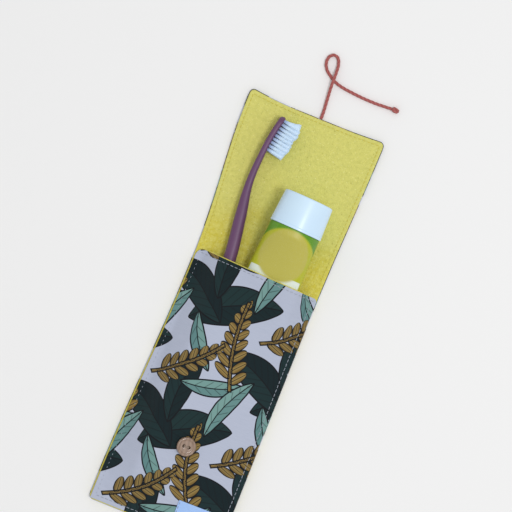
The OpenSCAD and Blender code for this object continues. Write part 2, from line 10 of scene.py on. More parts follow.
import bmesh
import bpy
import numpy as np
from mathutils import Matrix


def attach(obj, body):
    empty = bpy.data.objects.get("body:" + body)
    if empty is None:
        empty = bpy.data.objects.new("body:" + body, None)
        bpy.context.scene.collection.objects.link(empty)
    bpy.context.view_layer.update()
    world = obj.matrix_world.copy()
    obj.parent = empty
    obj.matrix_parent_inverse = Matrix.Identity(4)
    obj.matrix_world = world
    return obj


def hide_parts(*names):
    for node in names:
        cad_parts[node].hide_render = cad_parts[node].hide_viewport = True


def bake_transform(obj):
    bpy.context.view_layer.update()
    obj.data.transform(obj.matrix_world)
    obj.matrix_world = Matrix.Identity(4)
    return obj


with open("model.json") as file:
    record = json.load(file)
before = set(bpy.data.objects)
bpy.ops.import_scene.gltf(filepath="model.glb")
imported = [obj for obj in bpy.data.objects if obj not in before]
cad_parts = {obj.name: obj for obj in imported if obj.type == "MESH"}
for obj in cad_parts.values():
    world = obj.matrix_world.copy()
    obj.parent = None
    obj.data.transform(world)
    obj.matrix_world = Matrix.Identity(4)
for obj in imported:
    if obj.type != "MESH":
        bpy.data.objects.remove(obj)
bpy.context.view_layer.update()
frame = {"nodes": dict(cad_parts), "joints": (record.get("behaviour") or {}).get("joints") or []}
nodes = frame["nodes"]
MM = 0.001
scene = bpy.context.scene
scene.view_settings.view_transform = "Standard"


# %% [markdown]
# ## From arrays to meshes
# Every new piece is a grid of points worked out with numpy in millimetres: a ring carried along a line, or
# two skins of a cloth. A short helper turns such grids into one mesh and merges the points that meet along
# seams, edges and poles, which closes the surface. Whole arrays are faster than loops and keep each shape a
# formula.

# %% Mesh helpers
WELD = 3e-7  # metres: points closer than this are one point


def quads(index):
    """Faces over a grid, or a stack of grids, of point numbers: along a row and back along the next one."""
    corners = [index[..., :-1, :-1], index[..., :-1, 1:], index[..., 1:, 1:], index[..., 1:, :-1]]
    return np.stack(corners, -1).reshape(-1, 4)


def make_piece(name, *blocks):
    """Mesh object from blocks of (points in mm, UV), each a grid or a stack of grids, welded and turned
    outwards."""
    points = np.concatenate([p.reshape(-1, 3) for p, _ in blocks])
    cut = np.concatenate([c.reshape(-1, 2) for _, c in blocks])
    first = np.cumsum([0] + [p[..., 0].size for p, _ in blocks])
    faces = np.concatenate(
        [quads(n + np.arange(p[..., 0].size).reshape(p.shape[:-1])) for n, (p, _) in zip(first, blocks)]
    )
    mesh = bpy.data.meshes.new(name)
    mesh.vertices.add(len(points))
    mesh.vertices.foreach_set("co", (points * MM).astype(np.float32).ravel())
    mesh.loops.add(faces.size)
    mesh.loops.foreach_set("vertex_index", faces.ravel().astype(np.int32))
    mesh.polygons.add(len(faces))
    mesh.polygons.foreach_set("loop_start", np.arange(0, faces.size, 4, dtype=np.int32))
    mesh.update(calc_edges=True)
    mesh.uv_layers.new(name="cut").data.foreach_set("uv", cut[faces.ravel()].astype(np.float32).ravel())
    shape = bmesh.new()
    shape.from_mesh(mesh)
    bmesh.ops.remove_doubles(shape, verts=shape.verts, dist=WELD)
    bmesh.ops.recalc_face_normals(shape, faces=shape.faces)
    shape.to_mesh(mesh)
    shape.free()
    mesh.polygons.foreach_set("use_smooth", np.full(len(mesh.polygons), True))
    piece = bpy.data.objects.new(name, mesh)
    scene.collection.objects.link(piece)
    print(f"{name}: {len(mesh.vertices)} points, {len(mesh.polygons)} faces")
    return piece


print("points closer than", WELD / MM, "mm are welded")

# %% [markdown]
# ## Camera, light and floor
# The pouch is seen from straight above and lies turned by 22 degrees. A long lens keeps the tall cap from
# leaning outwards. One lamp stands high on the right, where the photograph's light comes from, and throws
# short shadows to the left. A faint window at the upper left keeps glossy edges alive, and an even sky fills
# the shadows, so colours come out about as they are written.

# %% Camera
VIEW_WIDTH, VIEW_TURN, VIEW_MIDDLE = 280.6, 22.0, (-2.6, 37.2)
LENS, SENSOR = 140, 36
camera_data = bpy.data.cameras.new("camera")
camera_data.lens, camera_data.sensor_width = LENS, SENSOR
camera = bpy.data.objects.new("camera", camera_data)
camera.location = (VIEW_MIDDLE[0] * MM, VIEW_MIDDLE[1] * MM, VIEW_WIDTH * MM * LENS / SENSOR)
camera.rotation_euler = (0, 0, np.radians(VIEW_TURN))
scene.collection.objects.link(camera)
scene.camera = camera
print("camera height in mm:", round(camera.location.z / MM))

# %% Sky and lamps
SKY = 0.6
world = bpy.data.worlds.new("sky")
world.use_nodes = True
sky = world.node_tree.nodes["Background"].inputs
sky["Color"].default_value = (1, 1, 1, 1)
sky["Strength"].default_value = SKY
scene.world = world


def area_lamp(name, watts, size, place, shape="SQUARE"):
    """Lamp with a flat face of the given size in metres, turned from its place towards the origin."""
    data = bpy.data.lights.new(name, "AREA")
    data.shape, data.size, data.energy = shape, size, watts
    lamp = bpy.data.objects.new(name, data)
    lamp.location = place
    lamp.rotation_euler = lamp.location.to_track_quat("Z", "Y").to_euler()
    scene.collection.objects.link(lamp)
    print(f"{name}: {watts} W, {size} m across")


area_lamp("softbox", 8.6, 0.42, (0.42, 0.08, 1.5), "DISK")
area_lamp("window", 0.3, 0.22, (-0.22, 0.34, 0.95))

# %% Table
TABLE_HALF, TABLE_Z, TABLE_GREY = 4, -0.0002, 0.9
table_mesh = bpy.data.meshes.new("table")
corners = [(-1, -1), (1, -1), (1, 1), (-1, 1)]
table_mesh.from_pydata([(TABLE_HALF * x, TABLE_HALF * y, 0) for x, y in corners], [], [(0, 1, 2, 3)])
table = bpy.data.objects.new("table", table_mesh)
table.location.z = TABLE_Z
scene.collection.objects.link(table)
table_paint = bpy.data.materials.new("table_paint")
table_paint.use_nodes = True
paint = table_paint.node_tree.nodes["Principled BSDF"].inputs
paint["Base Color"].default_value = (TABLE_GREY, TABLE_GREY, TABLE_GREY, 1)
paint["Roughness"].default_value = 0.9
paint["Specular IOR Level"].default_value = 0.1
table_mesh.materials.append(table_paint)
print("table:", 2 * TABLE_HALF, "m wide, grey", TABLE_GREY)

# %% [markdown]
# ## Materials as small boards of nodes
# Each finish is a handful of shader nodes. They could be wired one link at a time, but two small classes keep
# that short. A board adds a node, fills its sockets with numbers or with other nodes' outputs, and hands back
# an output as a wire. Arithmetic on wires adds Math nodes, so a pattern in a material reads like its formula.
# Colours are written as they look on a screen and turned into the linear numbers that Blender works with.

# %% Colours and wires
def tint(r, g, b):
    """Screen colour, 0 to 255, as linear light: the dark end is a straight line, the rest a power of 2.4."""
    c = np.array([r, g, b]) / 255
    return (*np.where(c < 0.04045, c / 12.92, ((c + 0.055) / 1.055) ** 2.4).tolist(), 1.0)


def joined_by(operation, swapped=False):
    """Method that joins a wire and another value with a Math node, in the order in which they are written."""

    def join(wire, other):
        return wire.board.math(operation, *((other, wire) if swapped else (wire, other)))

    return join


class Wire:
    """One output of a node on a board, open to plain arithmetic."""

    __add__ = __radd__ = joined_by("ADD")
    __mul__ = __rmul__ = joined_by("MULTIPLY")
    __sub__, __rsub__ = joined_by("SUBTRACT"), joined_by("SUBTRACT", swapped=True)
    __truediv__, __pow__ = joined_by("DIVIDE"), joined_by("POWER")

    def __init__(self, board, socket):
        self.board, self.socket = board, socket

    def __abs__(self):
        return self.board.math("ABSOLUTE", self)


print("a mid grey of 128 is", [round(c, 3) for c in tint(128, 128, 128)])


# %% Boards
class Board:
    """A node tree with short ways to add nodes and join them."""

    def __init__(self, tree):
        self.tree = tree

    def put(self, socket, value):
        """Join a wire to a socket, or set the socket to a plain value."""
        if isinstance(value, Wire):
            self.tree.links.new(value.socket, socket)
        else:
            socket.default_value = value

    def fill(self, sockets, **values):
        """Put values on sockets by name; an underscore stands for a space."""
        for key, value in values.items():
            self.put(sockets[key.replace("_", " ")], value)

    def add(self, kind, inputs, out=0, **settings):
        """New node with its settings and its inputs by name or number; returns one of its outputs."""
        node = self.tree.nodes.new("ShaderNode" + kind)
        for key, value in settings.items():
            setattr(node, key, value)
        for key, value in inputs.items():
            self.put(node.inputs[key], value)
        return Wire(self, node.outputs[out])

    def wires(self, node):
        """All outputs of a node, by name."""
        return {socket.name: Wire(self, socket) for socket in node.outputs}

    def math(self, operation, *values):
        """Math node over its inputs in order."""
        return self.add("Math", dict(enumerate(values)), operation=operation)

    def vector(self, operation, *values, out=0):
        """Vector Math node over its inputs in order; output 1 is a number, such as a distance."""
        return self.add("VectorMath", dict(enumerate(values)), out=out, operation=operation)

    def split(self, vector):
        """The first two numbers of a vector."""
        return [self.add("SeparateXYZ", {0: vector}, out=k) for k in (0, 1)]

    def mix(self, share, a, b):
        """Colour a where share is 0, colour b where it is 1."""
        return self.add("Mix", {0: share, 6: a, 7: b}, out=2, data_type="RGBA")

    def ramp(self, value, low, high, to_low=0.0, to_high=1.0):
        """Smooth step: to_low below low, to_high above high."""
        sockets = {"Value": value, "From Min": low, "From Max": high, "To Min": to_low, "To Max": to_high}
        return self.add("MapRange", sockets, interpolation_type="SMOOTHSTEP")

    def noise(self, where, scale, detail, distortion=0.0):
        """Noise of 0 to 1 at a place: scale is its grain, detail its number of finer layers."""
        sockets = {"Vector": where, "Scale": scale, "Detail": detail, "Distortion": distortion}
        return self.add("TexNoise", sockets)


print("a board can:", [name for name in vars(Board) if not name.startswith("_")])


# %% Groups
def new_group(name, inputs, outputs):
    """Empty shader group. An input with no plain value is a vector; every output is a number. Returns the
    group, its board, its inputs as wires and its output sockets."""
    tree = bpy.data.node_groups.new(name, "ShaderNodeTree")
    for label, value in inputs.items():
        kind = "NodeSocketVector" if value is None else "NodeSocketFloat"
        socket = tree.interface.new_socket(label, in_out="INPUT", socket_type=kind)
        if value is not None:
            socket.default_value = value
    for label in outputs:
        tree.interface.new_socket(label, in_out="OUTPUT", socket_type="NodeSocketFloat")
    board = Board(tree)
    print(f"group {name}: {', '.join(inputs)} -> {', '.join(outputs)}")
    start, end = tree.nodes.new("NodeGroupInput"), tree.nodes.new("NodeGroupOutput")
    return tree, board, board.wires(start), end.inputs


def use(board, group, **inputs):
    """Place a group on a board, with its inputs by name, and return its outputs."""
    node = board.tree.nodes.new("ShaderNodeGroup")
    node.node_tree = group
    board.fill(node.inputs, **inputs)
    return board.wires(node)


# %% Finishes
CUT_MM = 100.0  # millimetres to one unit of the UV map "cut"


def new_finish(name, **plain):
    """Material with one Principled shader; plain values are set on the shader's own sockets."""
    finish = bpy.data.materials.new(name)
    finish.use_nodes = True
    board, shader = Board(finish.node_tree), finish.node_tree.nodes["Principled BSDF"].inputs
    board.fill(shader, **plain)
    return finish, board, shader


def bump(board, height, deep_mm, strength=1.0):
    """Normal from a height of 0 to 1 that stands for deep_mm of relief."""
    return board.add("Bump", {"Height": height, "Strength": strength, "Distance": deep_mm * MM})


def cut_mm(board):
    """The piece's own cut coordinates in mm."""
    return board.vector("MULTIPLY", board.add("UVMap", {}, uv_map="cut"), (CUT_MM, CUT_MM, 0.0))


def object_mm(board):
    """Place on the object in mm, from Object coordinates."""
    return board.vector("MULTIPLY", board.add("TexCoord", {}, out=3), (1 / MM, 1 / MM, 1 / MM))


def dress(piece, finish):
    """Give a piece one finish in place of what it has."""
    piece.data.materials.clear()
    piece.data.materials.append(finish)


def settle(piece, finish, body, node=None):
    """Dress a piece, let it ride on a body, and hide the CAD node that it takes the place of, if one is
    given.
    """
    dress(piece, finish)
    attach(piece, body)
    if node:
        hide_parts(node)


print("one unit of a cut map is", CUT_MM, "mm")

# %% [markdown]
# ## Twisted yarn, shared by the cord and the sewing thread
# Cord and thread are both plies twisted round each other. The group draws the grooves between plies as
# slanted stripes in the piece's own coordinates, round and along, and adds the fine hairs that yarn has.
# Its Groove mask is where the finishes paint shade into those grooves.

# %% Yarn group
yarn, board, given, result = new_group(
    "twisted yarn", {"Cut": None, "Plies": 3.0, "Lay": 7.0, "Hair": 0.5}, ["Height", "Groove", "Fibre"]
)
around, along = board.split(given["Cut"])
turns = around / CUT_MM - along / given["Lay"]
ply = abs(board.math("COSINE", turns * given["Plies"] * np.pi)) ** 0.6
fibre = board.noise(board.add("CombineXYZ", {0: turns * 42.0, 1: along * 1.1}), 1.0, 2.0)
# Groove is 1 deep in the grooves between plies: a mask for painted shade
board.fill(result, Groove=1.0 - ply, Fibre=fibre, Height=ply + fibre * given["Hair"])

# %% [markdown]
# ## The tie cord
# A soft cotton cord, 1.8 mm thick, is sewn into the end of the flap. It runs out straight, rises over its own
# tail in a low hump, turns back in a loop and ends in a small knot. It could be a bevelled curve, but a mesh
# tube lets the three plies be real ridges that wind round it. The route repeats the CAD model's own points.

# %% Cord route
CORD_D, CORD_EXIT, CORD_STEP = 1.8, np.array([2.3, 120.0, 1.1]), 0.22
CORD_ROUTE = np.array([
    [0, 0, 1.1], [-0.1, 3, 1], [-0.3, 6, 1], [-0.8, 11, 1.4], [-1.3, 16.5, 2.5], [-1.6, 22, 3.4],
    [-1.7, 26.5, 2.6], [-2.2, 31, 1.4], [-3.7, 34.3, 1], [-6.4, 35.2, 1], [-8.6, 33.2, 1], [-8.8, 29.7, 1],
    [-7, 26.3, 1], [-3.6, 23.6, 1], [-0.2, 21.7, 1], [4.6, 20.4, 1], [10.7, 19.7, 1], [17.3, 19.2, 1],
    [24.7, 19.1, 1], [30.5, 19.4, 1.2], [34, 19.6, 1.7],
]) + [CORD_EXIT[0], CORD_EXIT[1], 0]


def through(knots, at, where):
    """Smooth curve through knots at the values `at`: a cubic on each span, whose slope at a knot is that of
    the chord between the two knots beside it."""
    knots, at = np.asarray(knots, float), np.asarray(at, float)
    low, high = np.maximum(np.arange(len(at)) - 1, 0), np.minimum(np.arange(len(at)) + 1, len(at) - 1)
    slope = (knots[high] - knots[low]) / (at[high] - at[low])[:, None]
    i = np.clip(np.searchsorted(at, where, side="right") - 1, 0, len(at) - 2)
    wide = (at[i + 1] - at[i])[:, None]
    u = (where - at[i])[:, None] / wide
    ends = knots[i] * (1 - 3 * u**2 + 2 * u**3) + knots[i + 1] * (3 * u**2 - 2 * u**3)
    return ends + wide * (slope[i] * (u - 2 * u**2 + u**3) + slope[i + 1] * (u**3 - u**2))


def run_along(line):
    """Distance from the start of a line to each of its points: the sum of the steps so far."""
    return np.concatenate([[0], np.cumsum(np.linalg.norm(np.diff(line, axis=0), axis=1))])


def read_off(where, at, rows):
    """Rows that belong to the values `at`, read off at other values: straight between one row and the
    next."""
    return np.stack([np.interp(where, at, column) for column in rows.T], 1)


def even_steps(line, step):
    """The same line with points about one step apart, measured along it."""
    run = run_along(line)
    marks = np.linspace(0, run[-1], int(round(run[-1] / step)) + 1)
    return read_off(marks, run, line), marks


spans = np.arange(len(CORD_ROUTE))
cord_line, cord_run = even_steps(through(CORD_ROUTE, spans, np.linspace(0, spans[-1], 2001)), CORD_STEP)
print("cord length in mm:", round(cord_run[-1], 2), "points:", len(cord_line))


# %% Tube along a line
def capped(points, cut):
    """Rings with a first and last row added, in which every point lies in the middle of its ring."""
    middles = [points[..., k, :-1, :].mean(-2)[..., None, None, :] for k in (0, -1)]
    first, last = (np.broadcast_to(middle, points[..., :1, :, :].shape) for middle in middles)
    return (
        np.concatenate([first, points, last], -3),
        np.concatenate([cut[..., :1, :, :], cut, cut[..., -1:, :, :]], -3),
    )


def ring_cut(angle, along):
    """UV of a tube: the share of a turn, and the millimetres along it."""
    return np.stack(np.broadcast_arrays(angle / (2 * np.pi), along / CUT_MM), -1)


def tube_along(line, run, radius, sides, closed=False, side=None):
    """Tube round a line, or a stack of lines: at each point a ring lies across the heading, radius(angle,
    run) or a plain radius from the middle. Its first axis is the given side, or level, or on a closed line
    points to the inside of the bend; the second is square to both. The two ends of an open tube shrink to a
    point."""
    ahead = np.roll(line, -1, -2) - np.roll(line, 1, -2) if closed else np.gradient(line, axis=-2)
    ahead /= np.linalg.norm(ahead, axis=-1, keepdims=True)
    if side is None:
        side = np.roll(ahead, -1, -2) - np.roll(ahead, 1, -2) if closed else np.cross([0, 0, 1.0], ahead)
        side /= np.linalg.norm(side, axis=-1, keepdims=True)
    side = np.broadcast_to(side, ahead.shape)
    over = np.cross(ahead, side)
    angle = np.linspace(0, 2 * np.pi, sides + 1)
    r = radius(angle, run[..., None])[..., None] if callable(radius) else radius
    ring = np.cos(angle)[:, None] * side[..., None, :] + np.sin(angle)[:, None] * over[..., None, :]
    points = line[..., None, :] + r * ring
    cut = np.broadcast_to(ring_cut(angle, run[..., None]), points.shape[:-1] + (2,))
    if closed:
        return np.concatenate([points, points[:1]]), np.concatenate([cut, cut[:1]])
    return capped(points, cut)


PLIES, LAY, GROOVE = 3, 7.5, 0.2


def ply_radius(angle, run):
    """Three plies side by side: the radius is full on each ply and dips between them, turning once in LAY
    mm."""
    swing = np.abs(np.cos(PLIES * (angle - 2 * np.pi * run / LAY) / 2))
    return CORD_D / 2 * (1 - GROOVE + GROOVE * swing**0.7)


tie_cord = make_piece("tie_cord_twist", tube_along(cord_line, cord_run, ply_radius, sides=24))

# %% [markdown]
# The end of the cord is tied in an overhand knot, which is the simplest closed knot pulled tight: a line that
# winds three times round while it goes twice through. A short frayed tail stands out of it.

# %% Cord knot
KNOT_AHEAD, KNOT_LONG, KNOT_WIDE, KNOT_RUN, KNOT_TIGHT = 1.9, 1.2, 0.33, 24, 0.76
TAIL_R, TAIL_WIDENS, TAIL_RIDGE, TAIL_LONG = 0.62, 0.1, 0.05, 1.5
knot_middle = cord_line[-1] + [KNOT_AHEAD, 0, 0]
t = np.linspace(0, 2 * np.pi, 181)[:-1]
knot_y, knot_z = np.sin(t) + 2 * np.sin(2 * t), np.cos(t) - 2 * np.cos(2 * t)
knot_line = np.stack([-KNOT_LONG * np.sin(3 * t), KNOT_WIDE * knot_y, KNOT_WIDE * knot_z], 1)
knot_run = t / (2 * np.pi) * KNOT_RUN


def knot_radius(angle, run):
    """The same plies, a little thinner than the cord, as they are pulled tight."""
    return KNOT_TIGHT * ply_radius(angle, run)


def tail_radius(angle, run):
    """A tail that widens along its length, with the ends of its threads as seven low ridges."""
    return TAIL_R + TAIL_WIDENS * run + TAIL_RIDGE * np.cos(7 * angle)


tail = np.linspace([0.6, 0, 0], [0.6 + TAIL_LONG, 0.15, -0.1], 9)
tail_run = np.linspace(0, TAIL_LONG, 9)
knot = make_piece(
    "cord_knot_overhand",
    tube_along(knot_line + knot_middle, knot_run, knot_radius, sides=16, closed=True),
    tube_along(tail + knot_middle, tail_run, tail_radius, sides=21),
)

# %% Cord finish and facts
cord_finish, board, shader = new_finish("brick_cord", Roughness=0.9, Sheen_Weight=0.25, Sheen_Roughness=0.5)
spun = use(board, yarn, Cut=cut_mm(board), Plies=float(PLIES), Lay=LAY, Hair=0.7)
shade = board.mix(board.ramp(spun["Fibre"], 0.3, 0.7), tint(160, 80, 78), tint(192, 108, 102))
# painted shade: the grooves between plies are darkened towards a deep brick red
shade = board.mix(spun["Groove"] * 0.75, shade, tint(126, 58, 58))
board.fill(shader, Base_Color=shade, Normal=bump(board, spun["Height"], 0.12))
settle(tie_cord, cord_finish, "flap", "tie_cord")
settle(knot, cord_finish, "flap", "cord_knot")
print("cord:", round(cord_run[-1], 1), "mm with a knot at", knot_middle.round(1))

# %% [markdown]
# ## The long back panel
# The back is two layers sewn together: printed cotton outside and a soft yellow towelling inside. Both run
# the whole length, so the fold between back and flap is one bending cloth and not a hinge. Each layer could
# be a plane with a Solidify modifier, but here it is two skins that meet in a rounded edge, so the edge looks
# like a turned seam. The outline repeats the CAD model's: a little wider at the flap, drawn in at the
# pocket's mouth.

# %% Outline of the cloth
BOTTOM_Y, MOUTH_Y, FOLD_Y, TOP_Y = -120.0, 28.0, 31.0, 120.0
BOTTOM_W, TOP_W, DRAW_LEFT, DRAW_RIGHT = 77.0, 80.0, 4.5, 1.5
COTTON, TOWELLING = 0.7, 1.5
PANEL = COTTON + TOWELLING


def half_width(y):
    """Straight sides: half the bottom's width, growing evenly to half the flap end's."""
    return BOTTOM_W / 2 + (TOP_W - BOTTOM_W) / 2 * (y - BOTTOM_Y) / (TOP_Y - BOTTOM_Y)


def drawn_in(y, amount):
    """Full amount at the mouth, fading to nothing at both ends as the square of a cosine."""
    reach = np.where(y < MOUTH_Y, (MOUTH_Y - y) / (MOUTH_Y - BOTTOM_Y), (y - MOUTH_Y) / (TOP_Y - MOUTH_Y))
    return amount * np.cos(np.pi / 2 * np.clip(reach, 0, 1)) ** 2


def left_side(y):
    """Half the width to the left, less what is drawn in there."""
    return drawn_in(y, DRAW_LEFT) - half_width(y)


def right_side(y):
    """Half the width to the right, less what is drawn in there."""
    return half_width(y) - drawn_in(y, DRAW_RIGHT)


def stations(length, step, fine=(0, 0.06, 0.2, 0.42, 0.75, 1.2, 2.0)):
    """Places along a length: close together at both ends, where the edge turns, and one step apart
    between."""
    fine = np.array(fine)
    middle = np.linspace(fine[-1], length - fine[-1], int(round(length / step)))[1:-1]
    return np.concatenate([fine, middle, length - fine[::-1]])


def round_in(away, r):
    """How far a corner of radius r draws the side in, at a distance from the end: r less the arc's reach."""
    return r - np.sqrt(np.maximum(0, r**2 - np.maximum(0, r - away) ** 2))


places = np.array([BOTTOM_Y, MOUTH_Y, TOP_Y])
print("width at bottom, mouth and end:", (right_side(places) - left_side(places)).round(1).tolist())


# %% Two skins of a cloth
def flat_cut(x, y):
    """UV of a cloth that is cut as it lies."""
    return np.stack([x, y], -1) / CUT_MM


def cloth(x, y, under, thick, turn, cut):
    """Cloth over a grid of x and y: both skins start from the middle of its thickness and leave it by half of
    thick, less near the border, where a quarter of an ellipse of depth turn closes the edge."""
    step_x = np.concatenate([np.zeros_like(x[:, :1]), np.cumsum(np.diff(x, axis=1), 1)], 1)
    away_x = np.minimum(step_x, step_x[:, -1:] - step_x)
    away_y = np.minimum(y - y[:1], y[-1:] - y)
    away = np.clip(np.minimum(away_x, away_y) / turn, 0, 1)
    half = thick / 2 * np.sqrt(1 - (1 - away) ** 2)
    middle = under + thick / 2
    return [(np.stack([x, y, middle + sign * half], -1), cut) for sign in (1, -1)]


def panel_grid(inset, corner_low, corner_high, step):
    """Grid of x and y over the long panel, drawn in by inset, with rounded corners at both ends."""
    y = BOTTOM_Y + inset + stations(TOP_Y - BOTTOM_Y - 2 * inset, step)
    left = left_side(y) + inset + round_in(y - y[0], corner_low) + round_in(y[-1] - y, corner_high)
    right = right_side(y) - inset - round_in(y - y[0], corner_low) - round_in(y[-1] - y, corner_high)
    across = stations(BOTTOM_W, step) / BOTTOM_W
    x = left[:, None] + (right - left)[:, None] * across
    return x, np.broadcast_to(y[:, None], x.shape)


LIFT, LIFT_WAVE, PULL_LEFT, PULL_RIGHT, PULL_IN = 0.7, 0.4, 2.0, 0.9, 0.5


def flap_lift(x, y):
    """Towelling never lies dead flat: the flap's sides and corners rise a little, in slow waves, away from
    what lies on it and from the cord."""
    side = np.clip((np.abs(x) - 30) / 9, 0, 1)
    end = np.clip((y - 110) / 10, 0, 1) * np.clip((np.abs(x - 3) - 13) / 10, 0, 1)
    flap = np.clip((y - FOLD_Y) / 25, 0, 1)
    waves = LIFT + LIFT_WAVE * np.sin(y / 9 + np.sign(x)) * np.sin(y / 23 + 1)
    return flap * np.maximum(side, end) ** 2 * waves


def corner_pull(x, y):
    """Turned corners are pushed out with a stick: both rise as the square of the way out from the cord,
    fading down."""
    left, right = np.clip((-x - 10) / 29, 0, 1) ** 2, np.clip((x - 16) / 23, 0, 1) ** 2
    fading = np.clip((y - 90) / 30, 0, 1) ** 2
    return x + fading * PULL_IN * left, y + fading * (PULL_LEFT * left + PULL_RIGHT * right)


x, y = panel_grid(inset=0.4, corner_low=2.5, corner_high=2.6, step=1.6)
skins = cloth(*corner_pull(x, y), COTTON + flap_lift(x, y), thick=TOWELLING, turn=0.8, cut=flat_cut(x, y))
lining = make_piece("lining_sheet", *skins)
x, y = panel_grid(inset=0.0, corner_low=3.0, corner_high=3.0, step=2.0)
skins = cloth(*corner_pull(x, y), flap_lift(x, y), thick=COTTON, turn=0.35, cut=flat_cut(x, y))
outer = make_piece("outer_sheet", *skins)

# %% [markdown]
# ## Yellow towelling
# The lining is a soft yellow cloth with a short pile. Close up it is a field of tiny tufts; from further off
# it shows as a mottle of warmer and greener yellow with darker specks. Hair particles could stand for the
# pile, but at half a millimetre a bump of small cells under two sizes of noise does the same work for far
# less.

# %% Pile group
pile, board, given, result = new_group(
    "short pile", {"Place": None, "Tuft": 0.8, "Blotch": 9.0}, ["Height", "Mottle", "Speck", "Patch", "Tip"]
)
fine = board.vector("DIVIDE", given["Place"], given["Tuft"])
wide = board.vector("DIVIDE", given["Place"], given["Blotch"])
cells = board.add("TexVoronoi", {"Vector": fine, "Scale": 1.0, "Randomness": 1.0})
board.fill(
    result, Height=1.0 - cells + board.noise(fine, 1.7, 4.0) * 0.8, Mottle=board.noise(fine, 0.33, 3.0),
    Speck=board.ramp(board.noise(fine, 0.55, 2.0), 0.62, 0.74), Patch=board.noise(wide, 1.0, 2.0),
    Tip=board.ramp(board.noise(fine, 0.8, 2.0), 0.62, 0.7),
)

# %% Towelling finish
towel_finish, board, shader = new_finish(
    "yellow_towelling", Roughness=0.95, Sheen_Weight=0.3, Sheen_Roughness=0.6, Sheen_Tint=tint(255, 240, 150)
)
cut = cut_mm(board)
soft = use(board, pile, Place=cut, Tuft=0.75, Blotch=26.0)
# paler towards the flap's end, in broad patches
paler_share = board.split(cut)[1] / 110.0 + soft["Patch"]
warm = board.mix(board.ramp(paler_share, 0.7, 1.25), tint(212, 199, 70), tint(211, 208, 112))
warm = board.mix(board.ramp(soft["Mottle"], 0.3, 0.7, 0.0, 0.55), warm, tint(230, 224, 124))
warm = board.mix(soft["Speck"] * 0.5, warm, tint(164, 158, 60))
# painted highlight: pale specks where the tips of the pile catch the light
warm = board.mix(soft["Tip"] * 0.75, warm, tint(238, 234, 156))
board.fill(shader, Base_Color=warm, Normal=bump(board, soft["Height"], 0.3, 0.8))
dress(lining, towel_finish)
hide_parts("back_lining", "flap_lining")
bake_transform(lining)
print("lining sheet:", len(lining.data.vertices), "points")

# %% [markdown]
# ## Printed cotton
# The outer cloth is a light plain weave printed with a leafy design: broad dark leaves, slim sage ones and
# gold sprigs with black outlines on a lilac grey. The print here is a plain all-over repeat of its own, drawn
# by three node groups: the nearest copy of a motif in a half-drop repeat, a leaf, and a sprig with small
# leaves on both sides. An image texture could hold the print, but formulas stay sharp at any distance.

# %% Weave group
weave, board, given, result = new_group("plain weave", {"Cut": None, "Pitch": 0.45}, ["Height", "Slub"])
u, v = (board.math("COSINE", part / given["Pitch"] * np.pi) for part in board.split(given["Cut"]))
over = u * v * 0.4
streaks = board.vector("MULTIPLY", given["Cut"], (0.12, 2.2, 1.0))
board.fill(
    result, Height=board.math("MAXIMUM", abs(u) * (0.6 + over), abs(v) * (0.6 - over)),
    Slub=board.noise(streaks, 1.0, 2.0),
)

# %% Repeat group
REPEAT_W, REPEAT_H = 54.0, 72.0
PLACE = {"Cut": None, "Middle": None, "Turn": 0.0, "Long": 40.0, "Bow": 0.0}
MOTIF = {**PLACE, "Wide": 12.0}
nearest, board, given, result = new_group("nearest copy", PLACE, ["Along", "Across"])
px, py = board.split(board.vector("SUBTRACT", given["Cut"], given["Middle"]))
column = board.math("ROUND", px / REPEAT_W)
px, py = px - column * REPEAT_W, py - column * (REPEAT_H / 2)
py = py - board.math("ROUND", py / REPEAT_H) * REPEAT_H
cosine, sine = board.math("COSINE", given["Turn"]), board.math("SINE", given["Turn"])
share = (px * cosine + py * sine) / given["Long"]
arch = 1.0 - share * share * 4.0
board.fill(result, Along=share + 0.5, Across=py * cosine - px * sine - arch * given["Bow"])
print("repeat in mm:", REPEAT_W, REPEAT_H)


# %% Motif helpers
INK = 0.08  # mm over which a printed border softens


def new_motif(name):
    """Group for one motif. It starts from the nearest copy's place, along as a share and across in mm."""
    group, board, given, result = new_group(name, MOTIF, ["Fill", "Line", "Half"])
    spot = use(board, nearest, **{key: given[key] for key in PLACE})
    return group, board, given, result, spot["Along"], spot["Across"]


def lens(board, share, power, full):
    """Half width of a leaf: full times a parabola over 0 to 1, to a power; far below zero outside 0 to 1."""
    hump = share * (1.0 - share) * 4.0
    return board.math("MAXIMUM", hump, 0.0) ** power * full + board.math("MINIMUM", hump, 0.0) * 40.0


def near(board, value, wide):
    """1 where the value is within wide of zero, with a soft border."""
    return board.ramp(abs(value), wide + INK, wide - INK)


print("printed borders soften over", 2 * INK, "mm")

# %% Leaf group
VEIN_PITCH = 5.5
leaf, board, given, result, along, across = new_motif("leaf")
side = abs(across)
inside = lens(board, along, 0.85, given["Wide"] / 2.0) - side
fill = board.ramp(inside, -INK, INK)
slant = along * given["Long"] - side * 1.3
vein = near(board, board.math("FRACT", slant / VEIN_PITCH) - 0.5, 0.05) * board.ramp(inside, 0.6, 1.2) * 0.7
rib = near(board, side, 0.3) * fill
line = board.math("MAXIMUM", near(board, inside, 0.42), board.math("MAXIMUM", rib, vein))
board.fill(result, Fill=fill, Line=line, Half=board.ramp(across, -0.1, 0.1))

